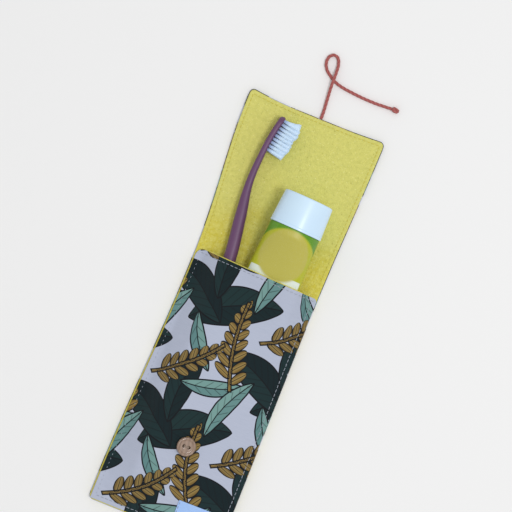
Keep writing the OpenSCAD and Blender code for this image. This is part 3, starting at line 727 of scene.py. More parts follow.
# %% Sprig group
LEAFLET, LEAFLET_HALF, STAGGER, STEM_HALF = 6.2, 2.8, 1.55, 0.95
sprig, board, given, result, along, across = new_motif("sprig")
side = abs(across)
reach = given["Wide"] / 2.0 * board.math("MAXIMUM", 1.0 - along, 0.02) ** 0.45
shift = board.math("SIGN", across) * STAGGER
number = (along * given["Long"] - side * 0.7 + shift) / LEAFLET
beside = abs(board.math("FRACT", number) - 0.5) * LEAFLET
leaflet = lens(board, side / reach, 0.6, LEAFLET_HALF) - beside
root = (board.math("FLOOR", number) + 0.5) * LEAFLET - shift
whole = board.math("MINIMUM", root - 2.0, given["Long"] - 1.5 - root)
leaflet = board.math("MINIMUM", leaflet, whole * 99.0)
stem = board.math("MINIMUM", STEM_HALF - side, (0.5 - abs(along - 0.5)) * given["Long"])
inside = board.math("MAXIMUM", leaflet, stem - 0.25)
rib = near(board, beside, 0.2) * board.ramp(leaflet, 0.3, 0.6)
outline = board.math("MAXIMUM", near(board, leaflet, 0.4), near(board, stem, 0.35))
board.fill(
    result, Fill=board.ramp(inside, -INK, INK), Line=board.math("MAXIMUM", outline, rib),
    Half=board.ramp(beside, 0.3, 2.0),
)

# %% Print finish
MOTIFS = [
    (leaf, (2, 4), 24, 54, 21, 4.0, (20, 38, 41), (28, 50, 51)),
    (leaf, (29, 44), 152, 50, 19, -4.0, (18, 34, 38), (27, 48, 50)),
    (leaf, (47, 66), 84, 44, 14, 3.0, (19, 36, 39), (27, 48, 50)),
    (leaf, (6, 36), 14, 36, 9, -2.5, (100, 139, 138), (119, 157, 152)),
    (leaf, (20, 26), 68, 40, 9.5, 3.0, (104, 143, 141), (122, 160, 155)),
    (leaf, (46, 20), -58, 34, 8.5, -2.5, (98, 137, 137), (117, 155, 151)),
    (sprig, (12, 60), 100, 50, 21, 3.0, (152, 128, 74), (124, 100, 52)),
    (sprig, (40, 8), 38, 46, 19, -3.0, (146, 124, 74), (118, 96, 52)),
]
print_finish, board, shader = new_finish(
    "leaf_print_cotton", Roughness=0.88, Sheen_Weight=0.04, Specular_IOR_Level=0.22
)
cut = cut_mm(board)
woven = use(board, weave, Cut=cut, Pitch=0.42)
colour = board.mix(woven["Slub"], tint(178, 186, 206), tint(192, 198, 216))
for group, middle, degrees, long, wide, bow, deep, pale in MOTIFS:
    turn = float(np.radians(degrees))
    drawn = use(board, group, Cut=cut, Middle=(*middle, 0), Turn=turn, Long=long, Wide=wide, Bow=bow)
    colour = board.mix(drawn["Fill"], colour, board.mix(drawn["Half"], tint(*deep), tint(*pale)))
    colour = board.mix(drawn["Line"], colour, tint(19, 22, 26))
# painted shade: the low parts of the weave, between the yarns, are darkened by up to a sixth
colour = board.mix(board.ramp(woven["Height"], 0.1, 0.6, 0.16, 0.0), colour, tint(60, 62, 70))
board.fill(shader, Base_Color=colour, Normal=bump(board, woven["Height"], 0.07, 0.7))
dress(outer, print_finish)
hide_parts("back_outer", "flap_outer")
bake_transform(outer)
print("print motifs:", len(MOTIFS))

# %% [markdown]
# ## The pocket
# The pocket is the same two cloths, sewn to the back along both sides and the bottom and filled by the brush
# and the tube. Cloth pulled over two things stands straight between them, so its height is the upper envelope
# of the points that hold it up. A cloth simulation would find nearly the same shape, but the envelope is
# exact, quick and keeps clear of what lies inside, as in the CAD model. A soft blur then takes off the
# creases, and small puckers are added along the seams.

# %% What lies in the pocket
POCKET_LOW, POCKET_IN_LEFT, POCKET_IN_RIGHT, SEAM, CLOTH_GAP = -118.8, 1.2, 0.5, 4.0, 0.9
BRUSH_TIP, BRUSH_X, BRUSH_Z, BRUSH_LONG = 113.0, -15.5, 7.7, 165.0
BRUSH_KNOTS = np.array([
    [0, -1.35, 1.75, 4.75], [11, -3.55, 1.75, 4.75], [22, -4.85, 1.75, 4.275], [40, -5.4, 2.1, 2.7],
    [58.75, -3, 3.198, 3.536], [81.25, 0, 3.608, 4.576], [115, 1.5, 4.1, 5.2], [165, -1.5, 3.608, 4.68],
])
BRUSH_FLAT, BRUSH_ROOM, BRUSH_FADE = 3.28, 10.7, -73.0
SHOULDER_Y, TUBE_X, TUBE_TURN, SLEEVE_LONG, SLEEVE_LOW = 58.0, 10.5, np.radians(2.5), 83.0, 3.05
TUBE_D, TUBE_WIDENS, CRIMP_T, TUBE_ROUND, CRIMP_LONG, TUBE_FADE = 28.5, 7.5, 1.6, 4.5, 6, -25.0


def pocket_sides(y):
    """Left and right edge of the pocket: the panel's own sides, drawn in."""
    return left_side(y) + POCKET_IN_LEFT, right_side(y) - POCKET_IN_RIGHT


def brush_at(d):
    """Spine offset, half depth and half width of the brush at a distance from its tip."""
    return through(BRUSH_KNOTS[:, 1:], BRUSH_KNOTS[:, 0], np.clip(d, 0, BRUSH_LONG))


def tube_section(s):
    """Half width, thickness and squareness of the tube at a distance from its shoulder: round at first, then
    pressed flatter and wider towards the crimp."""
    share = np.clip((s - TUBE_ROUND) / (SLEEVE_LONG - CRIMP_LONG - TUBE_ROUND), 0, 1)
    thick = CRIMP_T + (TUBE_D - CRIMP_T) * (1 - share) ** 1.7
    return (TUBE_D + TUBE_WIDENS * share) / 2, thick, 2 + 0.5 * np.sin(np.pi * share)


def fade(y, low):
    """Height fades to the bottom seam as a quarter of a sine."""
    return np.sin(np.pi / 2 * np.clip((y - POCKET_LOW - SEAM) / (low - POCKET_LOW - SEAM), 0, 1))


print("brush", BRUSH_LONG, "mm long; tube", TUBE_D, "mm round and", TUBE_D + TUBE_WIDENS, "mm at its crimp")


# %% Cloth pulled taut over it
def props(y):
    """For each height, the points that hold the cloth up: the two seams, the brush's flat top and the tube's
    arch."""
    left, right = pocket_sides(y)
    spine = BRUSH_X + brush_at(BRUSH_TIP - y)[:, 0]
    brush_room = (BRUSH_ROOM + CLOTH_GAP) * fade(y, BRUSH_FADE)
    t = np.array([-1, -0.92, -0.8, -0.5, 0, 0.5, 0.8, 0.92, 1])
    half, thick, power = (a[:, None] for a in tube_section(SHOULDER_Y - y))
    lift, fading = SLEEVE_LOW - PANEL + CLOTH_GAP, fade(y, TUBE_FADE)[:, None]
    high, low = (thick + lift) * fading, (thick / 2 + lift) * fading
    arch = low + (high - low) * (1 - np.abs(t) ** power) ** (1 / power)
    tube_x = (TUBE_X + (y - MOUTH_Y) * np.tan(TUBE_TURN))[:, None] + (half + CLOTH_GAP) * t
    zero = np.zeros_like(y)
    px = np.column_stack([left + SEAM, right - SEAM, spine - BRUSH_FLAT, spine + BRUSH_FLAT, tube_x])
    return px, np.column_stack([zero, zero, brush_room, brush_room, arch])


def taut(x, y):
    """Upper envelope: over every pair of props on both sides of a point, the highest straight line between
    them."""
    px, pz = props(y)
    ax, az, bx, bz = px[:, :, None, None], pz[:, :, None, None], px[:, None, :, None], pz[:, None, :, None]
    at = x[:, None, None, :]
    span = np.where(bx > ax, bx - ax, 1)
    line = az + (bz - az) * (at - ax) / span
    height = np.where((ax <= at) & (at <= bx) & (ax < bx), line, 0).max((1, 2))
    return np.where(y[:, None] <= POCKET_LOW + SEAM, 0, height)


def blur(places, wide):
    """Matrix that averages along uneven places with a bell curve of the given width."""
    bell = np.exp(-0.5 * ((places[:, None] - places[None, :]) / wide) ** 2) * np.gradient(places)[None, :]
    return bell / bell.sum(1, keepdims=True)


POCKET_W = 74.0
pocket_y = POCKET_LOW + stations(MOUTH_Y - POCKET_LOW, 1.25)
across = stations(POCKET_W, 0.8) / POCKET_W
pocket_left, pocket_right = pocket_sides(pocket_y)
full_x = pocket_left[:, None] + (pocket_right - pocket_left)[:, None] * across
room = blur(pocket_y, 2.0) @ taut(full_x, pocket_y) @ blur(across * POCKET_W, 1.3).T
print("room in the pocket: highest", round(room.max(), 1), "mm, at the mouth", round(room[-1].max(), 1), "mm")


# %% Puckers
TILT, TILT_FADE, GATHER, GATHER_PITCH, SLACK = 2.4, 40, 0.22, 6.1, 0.16


def pucker(x, y, left, right):
    """Seams gather the cloth: short waves along y that die out 5 mm inside the side seams, and slow waves
    between."""
    inner = np.minimum(x - left[:, None], right[:, None] - x) - SEAM
    short = np.sin(2 * np.pi * y / GATHER_PITCH + 2 * np.sin(y / 11) + np.sign(x))
    slow = np.sin(x / 7.5 + y / 15) * np.sin(y / 12 - x / 21) * np.clip(inner / 8, 0, 1)
    return GATHER * np.exp(-((inner - 2.5) / 3.0) ** 2) * short + SLACK * slow


def mouth_tilt(share, y):
    """The mouth isn't quite square: its left end rises by TILT mm, fading out TILT_FADE mm further down."""
    return TILT * (1 - share) * np.clip((y - MOUTH_Y + TILT_FADE) / TILT_FADE, 0, 1) ** 2


def pocket_grid(end, corner_left, corner_right):
    """Grid over the pocket up to a height, with its two upper corners rounded."""
    y = POCKET_LOW + (pocket_y - POCKET_LOW) * (end - POCKET_LOW) / (MOUTH_Y - POCKET_LOW)
    left, right = pocket_sides(y)
    low, high = left + round_in(y[-1] - y, corner_left), right - round_in(y[-1] - y, corner_right)
    x = low[:, None] + (high - low)[:, None] * across
    return x, y[:, None] + mouth_tilt(across, y[:, None])


def pocket_at(x, y):
    """Underside of the pocket's cloth at any x and y: bilinear between the rows and columns worked out
    above."""
    left, right = pocket_sides(y)
    share = (x - left) / (right - left)
    i = np.clip(np.searchsorted(pocket_y, y, side="right") - 1, 0, len(pocket_y) - 2)
    j = np.clip(np.searchsorted(across, share, side="right") - 1, 0, len(across) - 2)
    fy = np.clip((y - pocket_y[i]) / (pocket_y[i + 1] - pocket_y[i]), 0, 1)
    fx = np.clip((share - across[j]) / (across[j + 1] - across[j]), 0, 1)
    low = pocket_under[i, j] * (1 - fx) + pocket_under[i, j + 1] * fx
    high = pocket_under[i + 1, j] * (1 - fx) + pocket_under[i + 1, j + 1] * fx
    return low * (1 - fy) + high * fy


full_y = np.broadcast_to(pocket_y[:, None], full_x.shape)
pocket_under = PANEL + room + np.maximum(pucker(full_x, full_y, pocket_left, pocket_right), -room)
print("the pocket's underside reaches", round(pocket_under.max(), 1), "mm")

# %% Pocket sheets
PRINT_SHORT = 0.45  # mm by which the print ends below the mouth
TOWEL_SHIFT = 90  # mm by which the mottle is moved, so that it doesn't repeat the back's


def run_across(a, b):
    """Distance along each row of a grid, from its first point: the sum of the steps so far, each the longest
    side of a triangle with its steps in a and b."""
    steps = [np.diff(part, axis=1, prepend=part[:, :1]) for part in (a, b)]
    return np.cumsum(np.hypot(*steps), 1)


x, y = pocket_grid(MOUTH_Y, corner_left=4.2, corner_right=2.2)
skins = cloth(x, y, pocket_at(x, y), thick=TOWELLING, turn=0.75, cut=flat_cut(x + TOWEL_SHIFT, y))
pocket_towel = make_piece("pocket_lining_sheet", *skins)
x, y = pocket_grid(MOUTH_Y - PRINT_SHORT, corner_left=4.0, corner_right=2.0)
under = pocket_at(x, y)
run = run_across(x, under)
skins = cloth(x, y, under + TOWELLING, thick=COTTON, turn=0.4, cut=flat_cut(x[:, :1] + run, y))
pocket_print = make_piece("pocket_print_sheet", *skins)
settle(pocket_towel, towel_finish, "pouch", "pocket_lining")
settle(pocket_print, print_finish, "pouch", "pocket_outer")
mouth_w = x[-1, -1] - x[-1, 0]
print("cloth across the mouth:", round(run[-1, -1], 1), "mm, on a pocket", round(mouth_w, 1), "mm wide")

# %% [markdown]
# ## Stitches
# A line of machine sewing is a row of short thread loops: each comes up, lies on the cloth for a millimetre
# and a half and goes down again. A curve with a dashed material would look flat, so each stitch is a small
# tube that bows up and dives into the cloth at both ends. All stitches of one seam are one stack of tubes in
# one mesh.

# %% Stitch helpers
STITCH_BOW, STITCH_SINK, STITCH_SWAY, PLY_SHIFT = 0.26, 0.12, 0.08, 0.37


def stitch_places(points, pitch):
    """Middles of the stitches and their headings, one pitch apart along a line of points in x and y."""
    run = run_along(points)
    count = int(run[-1] / pitch)
    marks = (np.arange(count) + 0.5) * run[-1] / count
    ahead = read_off(marks + 0.4, run, points) - read_off(marks - 0.4, run, points)
    return read_off(marks, run, points), ahead / np.linalg.norm(ahead, axis=1, keepdims=True)


def stitches(points, height, pitch=2.5, long=1.6, thick=0.36):
    """Stack of thread tubes: each follows the cloth's height along its own length, a hair above it in the
    middle and below it at both ends, and sways a little to one side."""
    middle, ahead = stitch_places(np.asarray(points, float), pitch)
    number, t = np.arange(len(middle))[:, None], np.linspace(-1, 1, 9)
    sway = STITCH_SWAY * np.sin(number * 2.4) * t
    aside = np.stack([-ahead[:, 1], ahead[:, 0]], 1)
    flat = middle[:, None] + ahead[:, None] * (t * long / 2)[:, None] + aside[:, None] * sway[..., None]
    bow = STITCH_BOW * (1 - t**2) - STITCH_SINK
    line = np.concatenate([flat, (height(flat[..., 0], flat[..., 1]) + bow)[..., None]], -1)
    return tube_along(line, (t + 1) * long / 2 + number * PLY_SHIFT, thick / 2, sides=8)


def line_through(*corners):
    """Straight runs between corners in x and y, with a point every millimetre or so."""
    spans = np.arange(len(corners))
    return read_off(np.linspace(0, spans[-1], 60 * spans[-1] + 1), spans, np.array(corners, float))


def side_line(side, inset, low, high):
    """Line along one side of the cloth, drawn in by inset."""
    y = np.linspace(low, high, 80)
    return np.stack([side(y) + inset, y], 1)


def pocket_top(x, y):
    """Upper side of the pocket: its underside plus both cloths."""
    return pocket_at(x, y) + PANEL


def flap_top(x, y):
    """Top of the flap under a pulled point: the lift belongs to where the point lay before the pull."""
    pulled_x, pulled_y = corner_pull(x, y)
    return PANEL + flap_lift(2 * x - pulled_x, 2 * y - pulled_y)


def sunk_top(x, y):
    """Top of the pocket a little way down, for a row that its cloth half swallows."""
    return pocket_top(x, y) - 0.1


print("stitches rise", STITCH_BOW - STITCH_SINK, "mm above the cloth")

# %% Stitch rows
SEAM_LEFT, SEAM_RIGHT, HEM_IN, FLAP_LOW = 3.65, -2.95, 2.45, 34.5
low_y, high_y = POCKET_LOW + HEM_IN, MOUTH_Y - 3.4
corner_l, corner_r = left_side(low_y) + SEAM_LEFT, right_side(low_y) + SEAM_RIGHT
seam_rows = [
    side_line(right_side, SEAM_RIGHT, high_y, low_y),
    line_through((corner_r, low_y), (corner_l, low_y)),
]
sunk_row = stitches(side_line(left_side, SEAM_LEFT, low_y, high_y), sunk_top, long=1.1, thick=0.26)
pocket_seam = make_piece("pocket_seam_stitches", *[stitches(row, pocket_top) for row in seam_rows], sunk_row)
mouth_y, mouth_rise = 25.8, 2.1
mouth_ends = (left_side(mouth_y) + 3.4, mouth_y + mouth_rise), (right_side(mouth_y) - 1.6, mouth_y)
mouth_seam = make_piece("mouth_stitches", stitches(line_through(*mouth_ends), pocket_top, thick=0.34))
end_y = TOP_Y - HEM_IN
flap_rows = [
    side_line(left_side, HEM_IN, FLAP_LOW, end_y),
    line_through((left_side(end_y) + HEM_IN, end_y), (right_side(end_y) - HEM_IN, end_y)),
    side_line(right_side, -HEM_IN, end_y, FLAP_LOW),
]
flap_rows = [np.stack(corner_pull(*row.T), 1) for row in flap_rows]
flap_seam = make_piece("flap_edge_stitches", *[stitches(row, flap_top, thick=0.44) for row in flap_rows])


# %% Thread finishes
def thread_finish(name, pale, dark):
    """Sewing thread: two plies with painted shade in the grooves between them, and a slight lustre."""
    finish, board, shader = new_finish(name, Roughness=0.6, Sheen_Weight=0.15)
    spun = use(board, yarn, Cut=cut_mm(board), Plies=2.0, Lay=0.9, Hair=0.3)
    shade = board.mix(spun["Groove"], tint(*pale), tint(*dark))
    board.fill(shader, Base_Color=shade, Normal=bump(board, spun["Height"], 0.06))
    return finish


white_thread = thread_finish("white_thread", (172, 178, 192), (118, 124, 138))
yellow_thread = thread_finish("yellow_thread", (222, 212, 92), (176, 160, 52))
settle(pocket_seam, white_thread, "pouch", "pocket_seam_thread")
settle(mouth_seam, white_thread, "pouch", "mouth_thread")
settle(flap_seam, yellow_thread, "flap", "flap_edge_thread")
print("stitch finishes:", white_thread.name, yellow_thread.name)

# %% [markdown]
# ## The blank label
# A small plain satin tab is sewn on low down at the right. It could be a flat strip, but a slight belly keeps
# it from looking like a sticker. Satin is fine ribs with a soft shine along them, so the cotton's weave group
# draws it too, squeezed in one direction.

# %% Label
LABEL_X, LABEL_Y, LABEL_W, LABEL_H, LABEL_T = 8.5, -114.5, 23.0, 13.0, 0.4
LABEL_LIFT, LABEL_BELLY, LABEL_EDGE = 0.2, 0.25, (0, 0.04, 0.12, 0.3, 0.7)


def label_under(x, y):
    """Underside of the label: just over the pocket, with a belly as the product of two half sine waves."""
    belly = np.sin(np.pi * (x - LABEL_X) / LABEL_W) * np.sin(np.pi * (y - LABEL_Y) / LABEL_H)
    return pocket_top(x, y) + LABEL_LIFT + LABEL_BELLY * belly


def label_top(x, y):
    """Upper side of the label: its underside plus its thickness."""
    return label_under(x, y) + LABEL_T


x, y = np.meshgrid(LABEL_X + stations(LABEL_W, 0.8, LABEL_EDGE), LABEL_Y + stations(LABEL_H, 0.8, LABEL_EDGE))
skins = cloth(x, y, label_under(x, y), thick=LABEL_T, turn=0.2, cut=flat_cut(x, y))
label = make_piece("blank_label", *skins)
satin, board, shader = new_finish("pale_satin", Roughness=0.42, Sheen_Weight=0.2, Anisotropic=0.4)
ribs = use(board, weave, Cut=board.vector("MULTIPLY", cut_mm(board), (1.0, 2.4, 1.0)), Pitch=0.3)
shade = board.mix(ribs["Slub"], tint(156, 194, 252), tint(173, 207, 255))
board.fill(shader, Base_Color=shade, Normal=bump(board, ribs["Height"], 0.05))
settle(label, satin, "pouch", "woven_label")
print("label:", LABEL_W, "x", LABEL_H, "mm")

# %% Label stitches
low_y, high_y = LABEL_Y + 0.6, LABEL_Y + LABEL_H - 0.6
label_rows = [line_through((LABEL_X + e, low_y), (LABEL_X + e, high_y)) for e in (0.75, LABEL_W - 0.75)]
label_stitches = [stitches(row, label_top, pitch=2.0, long=1.4, thick=0.34) for row in label_rows]
label_seam = make_piece("label_stitches", *label_stitches)
settle(label_seam, white_thread, "pouch", "label_thread")

# %% [markdown]
# ## The sewn button
# A small two-hole button, pinkish beige with a pearly gloss, stands on a thread shank on the pocket. A
# boolean could drill the holes, but it leaves long thin faces that shade badly. Here each half of the middle
# is a grid that runs from its hole out to a D-shaped border, and the dished rim is turned round on the same
# border points, so all faces meet.

# %% Button middle
button_turn = next(joint for joint in frame["joints"] if joint["name"] == "button_turn")
BUTTON_SEAT, BUTTON_NORMAL = np.array(button_turn["pos_m"]) / MM, np.array(button_turn["axis"])
BUTTON_R, BUTTON_T, HOLE_R, HOLE_X, SHANK, MIDDLE_R, MIDDLE_T = 5.35, 2.4, 0.85, 1.5, 1.2, 3.25, 1.92
ARC_POINTS, CHORD_POINTS = 41, 21
MIDDLE_ROWS = np.array([
    [1, 0], [0.5, 0], [0.15, 0], [0.05, 0.02], [0.01, 0.08], [0, 0.2], [0, 1.0], [0, 1.72], [0.01, 1.84],
    [0.05, 1.9], [0.15, MIDDLE_T], [0.5, MIDDLE_T], [1, MIDDLE_T],
])


def on_button(points):
    """Points drawn round +Z, turned by the shortest way to the button's normal and moved to its seat."""
    lean, way = np.arccos(BUTTON_NORMAL[2]), np.arctan2(BUTTON_NORMAL[1], BUTTON_NORMAL[0])
    axis = np.array([-np.sin(way), np.cos(way), 0])
    cross = np.cross(np.broadcast_to(axis, points.shape), points)
    inline = (points @ axis)[..., None] * axis
    return BUTTON_SEAT + points * np.cos(lean) + cross * np.sin(lean) + inline * (1 - np.cos(lean))


def half_middle(side):
    """One half of the button's middle: rows go in along the underside, up the hole's wall and out along the
    top. Each row of MIDDLE_ROWS gives the share of the way from the hole to the border, and the height."""
    corner = np.arctan2(MIDDLE_R, -HOLE_X)
    chord = np.linspace(corner, 2 * np.pi - corner, CHORD_POINTS)[1:]
    angle = np.concatenate([np.linspace(-corner, corner, ARC_POINTS), chord])
    c, s = np.cos(angle), np.sin(angle)
    arc = -HOLE_X * c + np.sqrt(MIDDLE_R**2 - (HOLE_X * s) ** 2)
    reach = np.where(np.arange(len(angle)) < ARC_POINTS, arc, HOLE_X / np.maximum(-c, 1e-6))
    t, z = MIDDLE_ROWS.T
    r = HOLE_R + (reach[None] - HOLE_R) * t[:, None]
    x, y = side * (HOLE_X + r * c), r * s
    border = np.arctan2(y[-1, :ARC_POINTS], side * x[-1, :ARC_POINTS])
    return np.stack([x, y, np.broadcast_to(z[:, None], x.shape)], -1), border


right_half, border = half_middle(1)
left_half, _ = half_middle(-1)
print("button middle:", right_half.shape[:2], "points on each side of the bridge")


# %% Button rim
def turned_rows(r, z, angle):
    """Profile of radius and height turned round +Z through the given angles."""
    r, z = r[:, None], z[:, None]
    return np.stack(np.broadcast_arrays(r * np.cos(angle), r * np.sin(angle), z), -1)


RIM_BULGE, DISH_R, DISH_RUN, FOOT_R = 0.84, 4.51, 1.2, 3.9
bend = np.radians(np.linspace(-90, 90, 25))
rise = np.linspace(0, 1, 9)[1:]
bulge_r = BUTTON_R - RIM_BULGE + RIM_BULGE * np.cos(bend)
rim_r = [[MIDDLE_R, FOOT_R], bulge_r, DISH_R - DISH_RUN * rise, [MIDDLE_R]]
dish_z = BUTTON_T - (BUTTON_T - MIDDLE_T) * (0.5 - 0.5 * np.cos(np.pi * rise))
rim_z = [[0, 0], BUTTON_T / 2 * (1 + np.sin(bend)), dish_z, [MIDDLE_T]]
round_border = np.concatenate([border, (np.pi - border[::-1])[1:]])
rim = turned_rows(np.concatenate(rim_r), np.concatenate(rim_z), round_border)
blocks = [(on_button(p + [0, 0, SHANK]), p[..., :2] / CUT_MM) for p in (right_half, left_half, rim)]
button = make_piece("two_hole_button", *blocks)

# %% [markdown]
# The thread that holds it goes up through one hole and down through the other three times, and is wound round
# itself under the button into a short shank.

# %% Button thread
THREAD_R, WIND_R, WIND_RIDGE, WIND_PITCH = 0.2, 1.32, 0.14, 0.27
LOOP = np.array([
    [-1.45, 0.5], [-1.5, 2.2], [-1.42, 2.95], [-0.9, 3.4], [0, 3.5],
    [0.9, 3.4], [1.42, 2.95], [1.5, 2.2], [1.45, 0.5],
])


def thread_loop(offset):
    """Thread up one hole, over the bridge and down the other, in a plane beside the button's middle; its
    rings start square to that plane."""
    line = through(LOOP, np.arange(len(LOOP)), np.linspace(0, len(LOOP) - 1, 65))
    line = np.stack([line[:, 0], np.full(len(line), offset), line[:, 1] - abs(offset) * 0.4], 1)
    return tube_along(line, run_along(line), THREAD_R, sides=10, side=[0, 1.0, 0])


shank_z = np.linspace(0.36, 1.16, 25)
shank_r = WIND_R + WIND_RIDGE * np.abs(np.sin(np.pi * (shank_z - shank_z[0]) / WIND_PITCH))
angle = np.linspace(0, 2 * np.pi, 33)
shank = capped(turned_rows(shank_r, shank_z, angle), ring_cut(angle, shank_z[:, None]))
thread_blocks = [thread_loop(offset) for offset in (-0.36, 0.0, 0.36)] + [shank]
button_thread = make_piece("button_thread_loops", *[(on_button(p), c) for p, c in thread_blocks])

# %% [markdown]
# ## Moulded plastic, shared by button, brush, tube and cap
# Injection moulded plastic is smooth but never perfect: it has a faint flow mottle, a fine orange-peel
# surface and hairline scuffs from use. One group gives all three, and each material sets how strongly they
# show.

# %% Moulding group
moulding, board, given, result = new_group(
    "moulded plastic", {"Place": None, "Flow": 12.0, "Scuff": 0.5}, ["Mottle", "Height", "Scuffs"]
)
wide = board.vector("DIVIDE", given["Place"], given["Flow"])
scratch = board.noise(board.vector("MULTIPLY", given["Place"], (2.6, 0.16, 1.9)), 1.0, 1.0, distortion=0.6)
board.fill(
    result, Mottle=board.noise(wide, 1.0, 3.0), Height=board.noise(given["Place"], 1.6, 2.0),
    Scuffs=board.ramp(abs(scratch - 0.5), 0.02, 0.0) * given["Scuff"],
)


def moulded(name, deep, pale, rough, flow, scuff, relief=0.02, **plain):
    """Plain moulded finish: two close colours in the mottle; rough gives the scuffs that count as full, and
    the roughness with none and with full ones; relief is the orange peel's depth in mm, if it has any."""
    finish, board, shader = new_finish(name, **plain)
    cast = use(board, moulding, Place=object_mm(board), Flow=flow, Scuff=scuff)
    full, smooth, scuffed = rough
    shade = board.mix(cast["Mottle"], tint(*deep), tint(*pale))
    board.fill(shader, Base_Color=shade, Roughness=board.ramp(cast["Scuffs"], 0.0, full, smooth, scuffed))
    if relief:
        board.fill(shader, Normal=bump(board, cast["Height"], relief))
    return finish


# %% Button finish
pearl, board, shader = new_finish("beige_pearl", IOR=1.5, Coat_Weight=0.5, Coat_Roughness=0.12)
spot = object_mm(board)
cast = use(board, moulding, Place=spot, Flow=3.0, Scuff=0.4)
wave = {"Vector": spot, "Scale": 0.16, "Distortion": 5.0, "Detail": 2.0, "Detail Scale": 0.6}
swirl = board.ramp(board.add("TexWave", wave, out=1), 0.1, 0.9)
shade = board.mix(swirl, tint(130, 106, 90), tint(150, 124, 106))
board.fill(
    shader, Base_Color=board.mix(cast["Mottle"] * 0.3, shade, tint(172, 146, 126)),
    Roughness=board.ramp(cast["Scuffs"], 0.0, 0.4, 0.28, 0.45), Normal=bump(board, cast["Height"], 0.015),
)
# beige thread, painted darker than its own colour as painted shade for the holes it fills
beige_thread_with_painted_shade = thread_finish("beige_thread_with_painted_shade", (166, 146, 130), (100, 82, 70))
settle(button, pearl, "sewn_button", "button")
settle(button_thread, beige_thread_with_painted_shade, "sewn_button", "button_thread")
print("button:", 2 * BUTTON_R, "mm across")

# %% [markdown]
# ## The toothbrush
# The brush lies on its side, so from above its profile shows: a slim neck that bows to the left and a thicker
# grip. The handle is one loft: at each distance from the tip a rounded oval stands across the brush, and the
# knots of the CAD model give its spine, depth and width. A subdivision cage would be quicker to sketch, but
# the knots keep its sizes.

# %% Handle
TIP_ROUND, END_ROUND = 4.0, 5.0
HEAD_END, NECK_AT, HEAD_SQUARE, GRIP_SQUARE = 22, 40, 3.6, 2.5


def squared(value, power):
    """A cosine or sine, its sign kept, to the power 2 / power: an ellipse at 2 and a squarer oval above."""
    return np.sign(value) * np.abs(value) ** (2 / power)


def rounded_end(away, long):
    """1 further in than long, and a quarter circle down to 0 at the very end."""
    return np.sqrt(np.maximum(0, 1 - np.maximum(0, 1 - away / long) ** 2))


def brush_rings(d, sides):
    """Ovals across the brush, squarer at the head, whose both ends round off as arcs."""
    spine, deep, wide = brush_at(d).T
    tip, end = rounded_end(d, TIP_ROUND), rounded_end(BRUSH_LONG - d, END_ROUND)
    power = np.interp(d, [HEAD_END, NECK_AT], [HEAD_SQUARE, GRIP_SQUARE])[:, None]
    angle = np.linspace(0, 2 * np.pi, sides + 1)
    px = (deep * np.minimum(1, 0.25 + tip) * end)[:, None] * squared(np.cos(angle), power)
    pz = (wide * tip * end)[:, None] * squared(np.sin(angle), power)
    y = np.broadcast_to((BRUSH_TIP - d)[:, None], px.shape)
    points = np.stack([BRUSH_X + spine[:, None] + px, y, BRUSH_Z + pz], -1)
    return capped(points, ring_cut(angle, d[:, None]))


d = stations(BRUSH_LONG, 0.9, (0, 0.015, 0.06, 0.15, 0.3, 0.55, 0.9, 1.4, 2.1, 3.0, 4.0, 5.0))
handle = make_piece("brush_handle_moulded", brush_rings(d, sides=56))
violet = moulded(
    "violet_plastic", (92, 58, 93), (110, 74, 111), rough=(0.5, 0.42, 0.56), flow=14.0, scuff=0.6, IOR=1.49,
    Specular_IOR_Level=0.4,
)
settle(handle, violet, "toothbrush", "brush_handle")
print("brush:", BRUSH_LONG, "mm long")

# %% [markdown]
# ## Bristles
# Three rows of nine tufts stand on the head's side. A tuft is about fifty ends of nylon hair, folded in half
# and pinned in a hole. Hair particles would not export, so each hair is a thin tube of a few faces that leans
# outwards from its root. The tufts are trimmed in low waves, and each at a slight slant. A ribbed core in the
# middle of each tuft stands for the hairs that are packed too close to tell apart.

# %% Tuft frames
TUFTS, HAIRS, BRISTLE, FIRST, PITCH, FANNED, ROOT_R, CORE_R = 9, 50, 9.8, 2.3, 2.175, 6, 0.66, 0.56
TRIM = np.array([-0.3, 0.5, 0.9, 0.1, 0.3, 0.6, 0.7, 0.0, -0.4])
FLARE = np.array([1.7, 0.4] + [0.0] * (TUFTS - 2))
SLANT = np.array([-0.6, 0.1] + [0.3] * (TUFTS - 2))
LEVEL = np.array([-0.4, 0.33, 0.66, 0.985, 1.0])  # shares of a hair's length; the first is mm below the root
CORE_LEVEL = np.array([-0.4, 0.33, 0.66, 0.9, 0.95])
HAIR_R = np.array([0.095, 0.095, 0.09, 0.085, 0.045])
GROWN = np.clip(LEVEL, 0, 1)
FAN, SPREAD = 1.1 + GROWN**0.7, 1 + 0.38 * GROWN**1.3
SPLAY = FLARE[:, None] * GROWN**2
GOLDEN, WILD, UNEVEN = 2.4, 0.09, 0.12  # turn from hair to hair; how far tips stray; how uneven the trim is
UP = np.array([0, 0, 1.0])


def tuft_frames(row_z):
    """Seat, outward and lengthwise direction of each tuft in a row: square to the head's side, fanned by
    FANNED degrees from the first to the last."""
    d = FIRST + PITCH * np.arange(TUFTS)
    spine, deep, _ = brush_at(d).T
    slope = (brush_at(d + 1)[:, 0] - brush_at(d - 1)[:, 0]) / 2
    lean = np.arctan(slope) + np.radians(FANNED * (1 - 2 * np.arange(TUFTS) / (TUFTS - 1)) / 2)
    seat = np.stack([BRUSH_X + spine + deep, BRUSH_TIP - d, np.full(TUFTS, BRUSH_Z + row_z)], 1)
    c, s = np.cos(lean), np.sin(lean)
    return seat, np.stack([c, s, 0 * lean], 1), np.stack([-s, c, 0 * lean], 1)


def stand(frames, height, a, b):
    """Points at a height over each tuft's seat, a along the head and b up."""
    seat, out, along = (v.reshape(TUFTS, *[1] * (a.ndim - 1), 3) for v in frames)
    return seat + out * height[..., None] + along * a[..., None] + UP * b[..., None]


